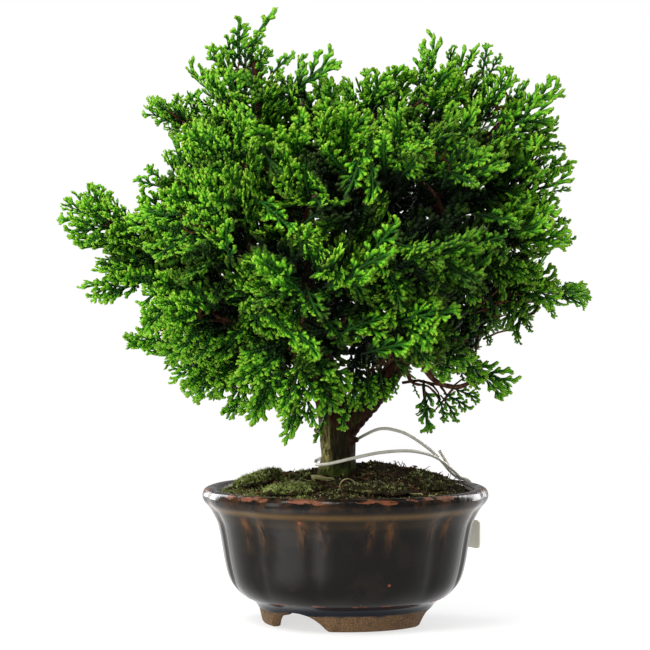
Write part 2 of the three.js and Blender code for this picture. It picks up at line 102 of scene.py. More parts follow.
def catmull(points: Sequence[Point], count: int) -> np.ndarray:
    """A smooth curve through points, evenly spaced along its length.

    Args:
        points: the points that the curve passes through.
        count: how many points are returned.

    Returns:
        An array of count rows.
    """
    p = np.asarray(points, float)
    p = np.vstack([2 * p[0] - p[1], p, 2 * p[-1] - p[-2]])
    fine = []
    for i in range(1, len(p) - 2):
        for t in np.linspace(0, 1, 24, endpoint=False):
            a, b, c, d = p[i - 1 : i + 3]
            bend = (2 * a - 5 * b + 4 * c - d) * t**2 + (3 * b - a - 3 * c + d) * t**3
            fine.append(0.5 * (2 * b + (c - a) * t + bend))
    fine.append(p[-2])
    fine = np.array(fine)
    run = np.concatenate([[0], np.cumsum(np.linalg.norm(np.diff(fine, axis=0), axis=1))])
    places = np.linspace(0, run[-1], count)
    return np.column_stack([np.interp(places, run, fine[:, k]) for k in range(fine.shape[1])])


# ---- materials ----


class Value:
    """A socket that carries a number or colour. Arithmetic on it adds Math nodes."""

    def __init__(self, tree: "Graph", socket: "NodeSocket | None") -> None:
        """Wraps one output socket of a tree."""
        self.tree = tree
        self.socket = socket

    def _maths(self, operation: str, first: "Value | float", second: "Value | float") -> "Value":
        """A Math node on two numbers."""
        return self.tree.node("ShaderNodeMath", {"operation": operation}, {0: first, 1: second})

    def __add__(self, other: "Value | float") -> "Value":
        """Sum."""
        return self._maths("ADD", self, other)

    __radd__ = __add__

    def __sub__(self, other: "Value | float") -> "Value":
        """Difference."""
        return self._maths("SUBTRACT", self, other)

    def __rsub__(self, other: "Value | float") -> "Value":
        """Difference with this value last, as in 1 - mask."""
        return self._maths("SUBTRACT", other, self)

    def __mul__(self, other: "Value | float") -> "Value":
        """Product."""
        return self._maths("MULTIPLY", self, other)

    __rmul__ = __mul__

    def beside(self, output: str) -> "Value":
        """Another output of the same node."""
        return Value(self.tree, self.socket.node.outputs[output])

    def between(self, low: float, high: float) -> "Value":
        """Smooth step of this value from 0 at low to 1 at high."""
        inputs = {"Value": self, "From Min": low, "From Max": high}
        return self.tree.node("ShaderNodeMapRange", {"interpolation_type": "SMOOTHSTEP"}, inputs)


class Graph:
    """A tree of nodes whose sockets are handled as values."""

    def __init__(self, tree: bpy.types.NodeTree) -> None:
        """Starts with no nodes."""
        self.tree = tree
        tree.nodes.clear()

    @staticmethod
    def _find(sockets: bpy.types.bpy_prop_collection, key: "str | int") -> NodeSocket:
        """A socket by its index, identifier or name."""
        if isinstance(key, int):
            return sockets[key]
        for socket in sockets:
            if socket.identifier == key:
                return socket
        return sockets[key]

    def node(
        self, kind: str, settings: "dict | None" = None, inputs: "dict | None" = None, output: "str | int" = 0
    ) -> Value:
        """Adds one node.

        Args:
            kind: the node's type.
            settings: its properties; stops fills a colour ramp.
            inputs: values or links for its sockets, by index, identifier or name.
            output: which output is returned.

        Returns:
            The chosen output.
        """
        made = self.tree.nodes.new(kind)
        for key, value in (settings or {}).items():
            if key != "stops":
                setattr(made, key, value)
                continue
            elements = made.color_ramp.elements
            elements.remove(elements[-1])
            for i, (place, colour) in enumerate(value):
                element = elements[0] if i == 0 else elements.new(place)
                element.position = place
                element.color = (*colour, 1.0)
        for key, value in (inputs or {}).items():
            socket = self._find(made.inputs, key)
            if isinstance(value, Value):
                self.tree.links.new(value.socket, socket)
            else:
                socket.default_value = value
        return Value(self, self._find(made.outputs, output) if made.outputs else None)


class Tree(Graph):
    """The nodes of a material, or of the surround."""

    def __init__(self, name: str, surround: bool = False) -> None:
        """Starts an empty material or surround.

        Args:
            name: its name.
            surround: whether it lights the scene from all sides.
        """
        self.owner = (bpy.data.worlds if surround else bpy.data.materials).new(name)
        self.owner.use_nodes = True
        super().__init__(self.owner.node_tree)

    def place(self, stretch: Point = (1.0, 1.0, 1.0)) -> Value:
        """Object coordinates, scaled along each axis."""
        at = self.node("ShaderNodeTexCoord", output="Object")
        if stretch == (1.0, 1.0, 1.0):
            return at
        return self.node("ShaderNodeMapping", inputs={"Vector": at, "Scale": stretch})

    def noise(
        self, size: float, detail: float = 3.0, stretch: Point = (1.0, 1.0, 1.0), rough: float = 0.55
    ) -> Value:
        """Noise over the object.

        Args:
            size: how large its features are, in millimetres.
            detail: how many finer layers it has.
            stretch: its scale along each axis.
            rough: how strong the finer layers are.

        Returns:
            A number near 0.5.
        """
        scale = 1 / (size * MM)
        inputs = {"Vector": self.place(stretch), "Scale": scale, "Detail": detail, "Roughness": rough}
        return self.node("ShaderNodeTexNoise", inputs=inputs)

    def axis(self, name: str) -> Value:
        """One of the object coordinates: X, Y or Z."""
        return self.node("ShaderNodeSeparateXYZ", inputs={0: self.place()}, output=name)

    def away(self, point: Vector) -> Value:
        """Distance from a point in metres."""
        inputs = {0: self.place(), 1: point}
        return self.node("ShaderNodeVectorMath", {"operation": "DISTANCE"}, inputs, "Value")

    def near(self, point: Vector, radius: float) -> Value:
        """1 within a radius in millimetres of a point, 0 farther off."""
        return 1 - self.away(point).between(radius * 0.8 * MM, radius * 1.15 * MM)

    def mark(self, name: str) -> Value:
        """A number stored on the mesh."""
        return self.node("ShaderNodeAttribute", {"attribute_name": name}, output="Fac")

    def ramp(self, value: Value, stops: Sequence[tuple[float, Colour]]) -> Value:
        """Colour by value."""
        return self.node("ShaderNodeValToRGB", {"stops": stops}, {"Fac": value})

    def mix(self, factor: "Value | float", first: "Value | Colour", second: "Value | Colour") -> Value:
        """Mixes two colours.

        Args:
            factor: 0 gives the first colour and 1 the second.
            first: the first colour.
            second: the second colour.

        Returns:
            The mixed colour.
        """
        a, b = ((*colour, 1.0) if isinstance(colour, tuple) else colour for colour in (first, second))
        inputs = {"Factor_Float": factor, "A_Color": a, "B_Color": b}
        return self.node("ShaderNodeMix", {"data_type": "RGBA"}, inputs, "Result_Color")

    def bump(self, height: Value, depth: float, strength: float = 1.0, under: "Value | None" = None) -> Value:
        """Relief on the surface.

        Args:
            height: how high it stands, from 0 to 1.
            depth: its depth in millimetres.
            strength: how strongly it shows.
            under: the relief that it is added to.

        Returns:
            The normal.
        """
        inputs = {"Height": height, "Distance": depth * MM, "Strength": strength}
        if under is not None:
            inputs["Normal"] = under
        return self.node("ShaderNodeBump", inputs=inputs)

    def finish(self, **inputs: "Value | float | Colour") -> Material:
        """Closes the material with a Principled shader.

        Args:
            inputs: socket values by name, with _ for a space.

        Returns:
            The finished material.
        """
        ready = {}
        for key, value in inputs.items():
            ready[key.replace("_", " ")] = (*value, 1.0) if isinstance(value, tuple) else value
        shader = self.node("ShaderNodeBsdfPrincipled", inputs=ready)
        self.node("ShaderNodeOutputMaterial", inputs={"Surface": shader})
        return self.owner


@dataclass(frozen=True)
class LeafFinish:
    """Scale leaves: dark inside the fan, partly their own colour and partly painted shade, fresh green
    outwards, yellow-green at the tips.
    """

    # deep: the colour of painted shade, which the shade mark and the random mottling mix toward
    deep: Colour = (0.0022, 0.0070, 0.0020)
    old_in_shade: Colour = (0.0040, 0.0200, 0.0030)
    green: Colour = (0.0195, 0.115, 0.0052)
    fresh: Colour = (0.128, 0.440, 0.0120)
    tip: Colour = (0.305, 0.495, 0.0400)
    bead: float = 2.2

    def make(self, name: str) -> Material:
        """Builds the material."""
        t = Tree(name)
        age_and_shade = t.mark("tip") * 0.62 + t.mark("along") * 0.20 + t.noise(12) * 0.30 - 0.11
        leaf = t.ramp(age_and_shade, [(0.0, self.old_in_shade), (0.23, self.green), (0.47, self.fresh), (0.86, self.tip)])
        mottled = t.mix(t.noise(1.4, 2).between(0.38, 0.75) * 0.5, leaf, t.mix(0.6, leaf, self.deep))
        # painted shade: each fan's shade mark mixes its leaves toward deep
        shaded = t.mix(t.mark("shade"), self.deep, mottled)
        turns = t.mark("run") * (2 * math.pi / self.bead)
        waves = t.node("ShaderNodeMath", {"operation": "SINE"}, {0: turns})
        scales = t.bump(waves, 0.28, 0.8)
        return t.finish(
            Base_Color=shaded,
            Roughness=0.38 + 0.3 * t.noise(3, 1),
            Normal=t.bump(t.noise(0.9, 1), 0.2, 0.5, scales),
            IOR=1.24,
        )


@dataclass(frozen=True)
class BarkFinish:
    """Fibrous bark in long strips, with further colours where the mesh is marked: its own tints, and on one
    side painted light.
    """

    dark: Colour
    middle: Colour
    pale: Colour
    moss: Colour
    mossy: float
    tints_and_lit_side: tuple = ()

    def make(self, name: str) -> Material:
        """Builds the material."""
        t = Tree(name)
        strips = t.noise(1.5, 4, (1, 1, 0.16), 0.65)
        fine = t.noise(0.5, 3, (1, 1, 0.22), 0.7)
        height = strips * 0.7 + fine * 0.3
        body = t.ramp(height, [(0.36, self.dark), (0.5, self.middle), (0.66, self.pale)])
        for mark, dark, pale in self.tints_and_lit_side:
            share = t.mark(mark) * t.noise(2.2, 3, (1, 1, 0.2)).between(0.30, 0.42)
            body = t.mix(share, body, t.mix(height.between(0.38, 0.62), dark, pale))
        green = t.noise(11, 3).between(0.5, 0.62) * t.noise(1.2, 2).between(0.3, 0.7) * self.mossy
        return t.finish(
            Base_Color=t.mix(green, body, self.moss),
            Roughness=0.75 + 0.2 * fine,
            Normal=t.bump(strips + fine * 0.6, 0.9, 0.9),
            IOR=1.2,
        )


@dataclass(frozen=True)
class GlazeFinish:
    """Black-brown glaze that breaks to rust where it is thin, and bare clay below its edge."""

    black: Colour = (0.0040, 0.0034, 0.0028)
    warm: Colour = (0.0090, 0.0066, 0.0045)
    blue: Colour = (0.0060, 0.0085, 0.0150)
    brown: Colour = (0.085, 0.036, 0.011)
    olive: Colour = (0.105, 0.056, 0.014)
    rust: Colour = (0.150, 0.044, 0.025)
    lip: Colour = (0.034, 0.0155, 0.0065)
    clay: Colour = (0.204, 0.121, 0.063)
    clay_dark: Colour = (0.060, 0.036, 0.020)
    worn_from: float = 62.0
    worn_to: float = 66.0
    dots: tuple = (
        (21.9, -57.3, 25.8, 0.9), (-23.5, -64.5, 58.6, 1.3), (-55, -40, 60, 1.5), (-44, -44, 41, 0.4),
    )

    def make(self, name: str) -> Material:
        """Builds the material."""
        t = Tree(name)
        clouds = t.noise(15, 4)
        fine = t.noise(2.2, 4, rough=0.7)
        body = t.mix(clouds.between(0.46, 0.64), self.black, self.warm)
        body = t.mix(t.mark("low") * (0.55 + 0.45 * fine), body, self.blue)
        streaks = t.noise(2.6, 3, (1, 1, 0.22))
        glazed = t.mix(t.mark("thin") * streaks.between(0.36, 0.62), body, self.brown)
        glazed = t.mix(t.mark("band") * (0.45 + 0.55 * fine), glazed, self.olive)
        lip = t.axis("Z").between(self.worn_from * MM, self.worn_to * MM)
        glazed = t.mix(lip * t.noise(8, 3).between(0.42, 0.66), glazed, self.lip)
        patches = t.noise(8.5, 3, (1, 1, 2.6), 0.6)
        broken = (t.mark("rust") * 0.30 + patches).between(0.755, 0.772) * t.mark("rust").between(0.02, 0.2)
        glazed = t.mix(broken, glazed, t.mix(fine.between(0.40, 0.62), self.rust, self.brown))
        for x, y, z, radius in self.dots:
            glazed = t.mix(t.near(spot(x, y, z), radius), glazed, self.rust)
        grain = t.noise(0.55, 3, rough=0.8)
        clay = t.mix(grain.between(0.36, 0.62), self.clay_dark, self.clay)
        clay = t.mix(t.noise(6, 3).between(0.5, 0.68) * 0.5, clay, self.clay_dark)
        bare = t.mark("bare")
        surface = t.bump(grain * bare, 0.3, 0.8)
        surface = t.bump(t.noise(9, 2), 0.3, 0.3, surface)
        surface = t.bump(broken, 0.12, 0.5, surface)
        worn = lip * t.noise(6, 2).between(0.40, 0.66)
        surface = t.bump(worn, 0.20, 0.4, surface)
        return t.finish(
            Base_Color=t.mix(bare, glazed, clay),
            Roughness=bare * 0.7 + 0.11 + fine * 0.07 + broken * 0.25 + worn * 0.20,
            Normal=surface,
            IOR=1.245,
        )


@dataclass(frozen=True)
class EarthFinish:
    """Grit, soil or moss: two colours broken up at a grain size in millimetres, and to the right a darker
    shady pair as painted shade.
    """

    dark: Colour
    pale: Colour
    grain: float
    depth: float
    rough: float = 0.95
    tips: "Colour | None" = None
    shady: "tuple[Colour, Colour] | None" = None
    shady_from: float = -28.0
    shady_to: float = 12.0

    def make(self, name: str) -> Material:
        """Builds the material."""
        t = Tree(name)
        spread = t.noise(self.grain, 4, rough=0.7)
        wide = t.noise(self.grain * 7, 3)
        colour = t.mix((spread * 0.6 + wide * 0.55).between(0.42, 0.72), self.dark, self.pale)
        # painted shade: to the right the colours give way to the darker shady pair
        if self.shady is not None:
            right = t.axis("X").between(POT_AXIS.x + self.shady_from * MM, POT_AXIS.x + self.shady_to * MM)
            colour = t.mix(right, colour, t.mix(spread.between(0.42, 0.66), *self.shady))
        if self.tips is not None:
            colour = t.mix(t.mark("tip") * t.noise(self.grain * 3, 2).between(0.46, 0.60), colour, self.tips)
        return t.finish(
            Base_Color=colour,
            Roughness=self.rough,
            Normal=t.bump(spread, self.depth, 0.8),
            IOR=1.12,
        )


@dataclass(frozen=True)
class PlasticFinish:
    """Plain plastic or metal with fine scuffs; a glow makes it shine in its own colour, a painted light."""

    base: Colour
    worn: Colour
    rough: float
    metallic: float = 0.0
    glow: float = 0.0

    def make(self, name: str) -> Material:
        """Builds the material."""
        t = Tree(name)
        scuffs = t.noise(1.2, 4, (1, 1, 0.5), 0.7)
        return t.finish(
            Base_Color=t.mix(scuffs.between(0.45, 0.75), self.base, self.worn),
            Roughness=self.rough + 0.2 * scuffs,
            Metallic=self.metallic,
            Normal=t.bump(scuffs, 0.05, 0.5),
            Emission_Color=self.base,
            Emission_Strength=self.glow,
        )


# ---- meshes ----


@dataclass
class Shape:
    """Vertices in millimetres about the pot's axis, faces, and numbers stored on the vertices."""

    verts: list[np.ndarray] = field(default_factory=list)
    faces: list[tuple[int, ...]] = field(default_factory=list)
    marks: dict[str, list[np.ndarray]] = field(default_factory=dict)
    count: int = 0

    def add(self, verts: np.ndarray, faces: Iterable[tuple[int, ...]], **marks: "np.ndarray | float") -> None:
        """Adds a closed form.

        Args:
            verts: its vertices.
            faces: its faces, by the vertices' own numbers.
            marks: numbers to store, one for each vertex or one for all.
        """
        verts = np.asarray(verts, float)
        self.faces.extend(tuple(i + self.count for i in face) for face in faces)
        self.verts.append(verts)
        for name, value in marks.items():
            self.marks.setdefault(name, []).append(np.broadcast_to(value, len(verts)))
        self.count += len(verts)

    def mesh(self, name: str, about_pot: bool = True) -> Mesh:
        """The gathered forms as one smooth mesh.

        Args:
            name: the mesh's name.
            about_pot: whether the vertices are placed about the pot's axis or about the origin.

        Returns:
            The mesh, in metres.
        """
        mesh = bpy.data.meshes.new(name)
        shift = np.array(POT_AXIS) if about_pot else np.zeros(3)
        verts = np.vstack(self.verts or [np.empty((0, 3))]) * MM + shift
        mesh.from_pydata(verts.tolist(), [], self.faces)
        for key, values in self.marks.items():
            layer = mesh.attributes.new(key, "FLOAT", "POINT")
            layer.data.foreach_set("value", np.concatenate(values).astype(np.float32))
        mesh.polygons.foreach_set("use_smooth", np.ones(len(mesh.polygons), bool))
        mesh.update()
        return mesh


def joined(rings: int, sides: int) -> list[tuple[int, ...]]:
    """Four-sided faces between rings of vertices, each ring joined to the next."""
    faces = []
    for i in range(rings - 1):
        a, b = i * sides, (i + 1) * sides
        faces += [(a + j, a + (j + 1) % sides, b + (j + 1) % sides, b + j) for j in range(sides)]
    return faces


def tube(line: Sequence[Point], radii: Sequence[float], sides: int, flatten: float = 1.0) -> tuple:
    """A closed round stem along a line.

    Args:
        line: points along its middle.
        radii: its radius at each point.
        sides: how many sides it has.
        flatten: its thickness as a share of its width.

    Returns:
        Vertices and faces.
    """
    line = np.asarray(line, float)
    ahead = np.gradient(line, axis=0)
    ahead /= np.linalg.norm(ahead, axis=1)[:, None]
    side = np.cross(ahead[0], (0.31, 0.27, 0.91))
    rings = []
    turn = np.linspace(0, 2 * math.pi, sides, endpoint=False)
    for point, way, radius in zip(line, ahead, radii):
        side = side - way * side.dot(way)
        side /= np.linalg.norm(side)
        up = np.cross(way, side)
        ring = np.outer(np.cos(turn), side) + flatten * np.outer(np.sin(turn), up)
        rings.append(point + ring * radius)
    end = (len(line) - 1) * sides
    caps = [tuple(reversed(range(sides))), tuple(range(end, end + sides))]
    return np.vstack(rings), joined(len(line), sides) + caps


def evaluated(holder: Object) -> Mesh:
    """The mesh that an object's modifiers make. The object is then removed."""
    graph = bpy.context.evaluated_depsgraph_get()
    graph.update()
    whole = holder.evaluated_get(graph)
    mesh = bpy.data.meshes.new_from_object(whole, preserve_all_data_layers=True, depsgraph=graph)
    bpy.data.objects.remove(holder)
    return mesh


def held(data: bpy.types.ID, name: str = "holder") -> Object:
    """A mesh, curve, lamp or camera in a scene object."""
    obj = bpy.data.objects.new(name, data)
    bpy.context.scene.collection.objects.link(obj)
    return obj


def remeshed(mesh: Mesh, voxel: float, rounds: int) -> Mesh:
    """One smooth skin over everything in a mesh.

    Args:
        mesh: closed forms that may pass through each other.
        voxel: the skin's facet size in millimetres.
        rounds: how often it is smoothed.

    Returns:
        The skin.
    """
    holder = held(mesh)
    skin = holder.modifiers.new("skin", "REMESH")
    skin.mode = "VOXEL"
    skin.voxel_size = voxel * MM
    skin.use_smooth_shade = True
    soften = holder.modifiers.new("soften", "SMOOTH")
    soften.factor = 0.5
    soften.iterations = rounds
    return evaluated(holder)


def displaced(mesh: Mesh, height: Callable[[Vector], float]) -> Mesh:
    """Moves a mesh's vertices along their normals by a height in millimetres."""
    moved = [v.co + v.normal * (height(v.co) * MM) for v in mesh.vertices]
    for vertex, place in zip(mesh.vertices, moved):
        vertex.co = place
    mesh.update()
    return mesh


def marked(mesh: Mesh, name: str, share: Callable[[Vector], float]) -> Mesh:
    """Stores a number on each vertex of a mesh.

    Args:
        mesh: the mesh.
        name: the number's name.
        share: gives the number at a place in millimetres about the pot's axis.

    Returns:
        The same mesh.
    """
    layer = mesh.attributes.get(name) or mesh.attributes.new(name, "FLOAT", "POINT")
    values = [share((v.co - POT_AXIS) / MM) for v in mesh.vertices]
    layer.data.foreach_set("value", np.array(values, np.float32))
    return mesh


def copied(node: str) -> Mesh:
    """A CAD node's mesh with its loose triangles joined."""
    work = bmesh.new()
    work.from_mesh(frame["nodes"][node].data)
    bmesh.ops.remove_doubles(work, verts=work.verts, dist=1e-6)
    mesh = bpy.data.meshes.new(node)
    work.to_mesh(mesh)
    work.free()
    return mesh


def merged(meshes: Sequence[Mesh], name: str) -> Mesh:
    """Several meshes in one, each keeping its own material slot number.

    Args:
        meshes: the meshes to join, which are then removed.
        name: the new mesh's name.

    Returns:
        The joined mesh, with material index i on the faces of the i-th mesh.
    """
    work = bmesh.new()
    for index, mesh in enumerate(meshes):
        mesh.polygons.foreach_set("material_index", np.full(len(mesh.polygons), index, np.int32))
        work.from_mesh(mesh)
        bpy.data.meshes.remove(mesh)
    whole = bpy.data.meshes.new(name)
    work.to_mesh(whole)
    work.free()
    return whole


def piece(mesh: Mesh, name: str, finishes: Sequence[Material], nodes: Sequence[str]) -> Object:
    """Puts a finished mesh in the scene as a piece of the tree.

    Args:
        mesh: the piece's mesh, in place.
        name: the piece's name.
        finishes: its materials, in the order of its faces' slot numbers.
        nodes: the CAD nodes that it stands for.

    Returns:
        The new object.
    """
    obj = held(mesh, name)
    for material in finishes:
        mesh.materials.append(material)
    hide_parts(*nodes)
    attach(obj, BODY)
    mesh.calc_loop_triangles()
    LOG.info("%s: %d triangles", name, len(mesh.loop_triangles))
    return obj


# ---- geometry nodes ----


class Nodes(Graph):
    """A Geometry Nodes tree with named inputs."""

    def __init__(self, name: str, **inputs: str) -> None:
        """Starts a tree.

        Args:
            name: the tree's name.
            inputs: the kind of each named input after the geometry.
        """
        super().__init__(bpy.data.node_groups.new(name, "GeometryNodeTree"))
        face = self.tree.interface
        self.keys = {}
        for label, kind in {"Geometry": "Geometry", **inputs}.items():
            socket = face.new_socket(label, in_out="INPUT", socket_type="NodeSocket" + kind)
            self.keys[label] = socket.identifier
        face.new_socket("Geometry", in_out="OUTPUT", socket_type="NodeSocketGeometry")
        self.start = self.tree.nodes.new("NodeGroupInput")

    def given(self, label: str) -> Value:
        """A named input."""
        return Value(self, self.start.outputs[label])

    def attribute(self, name: str, kind: str) -> Value:
        """A named attribute of the incoming geometry."""
        return self.node("GeometryNodeInputNamedAttribute", {"data_type": kind}, {"Name": name}, "Attribute")

    def random(self, low: object, high: object, seed: Value, kind: str = "FLOAT") -> Value:
        """A random number for each item.

        Args:
            low: the least that it can be.
            high: the most that it can be.
            seed: the seed.
            kind: FLOAT or INT.

        Returns:
            The number.
        """
        end = {"FLOAT": "_001", "INT": "_002"}[kind]
        inputs = {"Min" + end: low, "Max" + end: high, "Seed": seed}
        return self.node("FunctionNodeRandomValue", {"data_type": kind}, inputs, "Value" + end)

    def set_forms(
        self, label: str, points: Value, which: Value, turn: Value, size: Value, angles: dict[str, Value]
    ) -> None:
        """Sets forms on points and ends the tree in Realize Instances and Set Material.

        Args:
            label: the named input with the collection of forms.
            points: where they are set.
            which: the number of the form at each point.
            turn: its rotation.
            size: its scale.
            angles: how far it is then turned about its own X, Y and Z.
        """
        inputs = {"Collection": self.given(label), "Separate Children": True, "Reset Children": True}
        forms = self.node("GeometryNodeCollectionInfo", inputs=inputs)
        inputs = {"Points": points, "Instance": forms, "Pick Instance": True, "Instance Index": which}
        placed = self.node("GeometryNodeInstanceOnPoints", inputs={**inputs, "Rotation": turn, "Scale": size})
        inputs = {"Instances": placed, "Rotation": self.node("ShaderNodeCombineXYZ", inputs=angles)}
        turned = self.node("GeometryNodeRotateInstances", inputs={**inputs, "Local Space": True})
        real = self.node("GeometryNodeRealizeInstances", inputs={"Geometry": turned})
        inputs = {"Geometry": real, "Material": self.given("Material")}
        self.node("NodeGroupOutput", inputs={0: self.node("GeometryNodeSetMaterial", inputs=inputs)})

    def run(self, mesh: Mesh, **values: object) -> Mesh:
        """Runs the tree on a mesh.

        Args:
            mesh: the incoming geometry.
            values: the named inputs.

        Returns:
            The plain mesh that comes out.
        """
        holder = held(mesh)
        modifier = holder.modifiers.new("build", "NODES")
        modifier.node_group = self.tree
        for label, value in values.items():
            modifier[self.keys[label]] = value
        return evaluated(holder)


class SetFans(Nodes):
    """Sets a leaf fan on each incoming point, turned as the point says and rolled a little."""

    def __init__(self) -> None:
        """Builds the tree."""
        super().__init__(
            "set leaf fans", Fans="Collection", Spread="Float", Roll="Float", Seed="Int", Material="Material"
        )
        spread, roll, seed = (self.given(label) for label in ("Spread", "Roll", "Seed"))
        vary = self.random(1 - spread, 1 + spread, seed)
        self.set_forms(
            "Fans",
            self.given("Geometry"),
            self.attribute("kind", "INT"),
            self.attribute("turn", "FLOAT_VECTOR"),
            vary * self.attribute("grow", "FLOAT"),
            {"Y": self.random(roll * -1, roll, seed + 7)},
        )


class Strew(Nodes):
    """Strews small pieces over a surface, by the surface's cover number."""

    def __init__(self) -> None:
        """Builds the tree."""
        super().__init__(
            "strew small pieces", Pieces="Collection", Density="Float", Smallest="Float", Largest="Float",
            Lean="Float", Seed="Int", Material="Material",
        )
        lean, seed = self.given("Lean"), self.given("Seed")
        density = self.given("Density") * self.attribute("cover", "FLOAT")
        inputs = {"Mesh": self.given("Geometry"), "Density": density, "Seed": seed}
        points = self.node("GeometryNodeDistributePointsOnFaces", inputs=inputs, output="Points")
        tilt = {axis: self.random(lean * -1, lean, seed + plus) for axis, plus in (("X", 3), ("Y", 5))}
        self.set_forms(
            "Pieces",
            points,
            self.random(0, 9, seed, "INT"),
            points.beside("Rotation"),
            self.random(self.given("Smallest"), self.given("Largest"), seed),
            {**tilt, "Z": self.random(0.0, 2 * math.pi, seed + 9)},
        )


class Patterns:
    """Small forms that are repeated, kept in a collection until the tree is made."""

    def __init__(self, name: str) -> None:
        """Starts an empty set of forms."""
        self.collection = bpy.data.collections.new(name)
        bpy.context.scene.collection.children.link(self.collection)

    def add(self, mesh: Mesh, name: str) -> None:
        """Adds a form; forms are picked in the order of their names."""
        self.collection.objects.link(bpy.data.objects.new(name, mesh))

    def clear(self) -> None:
        """Removes the forms."""
        for obj in list(self.collection.objects):
            bpy.data.objects.remove(obj)
        bpy.data.collections.remove(self.collection)


# ---- pot ----


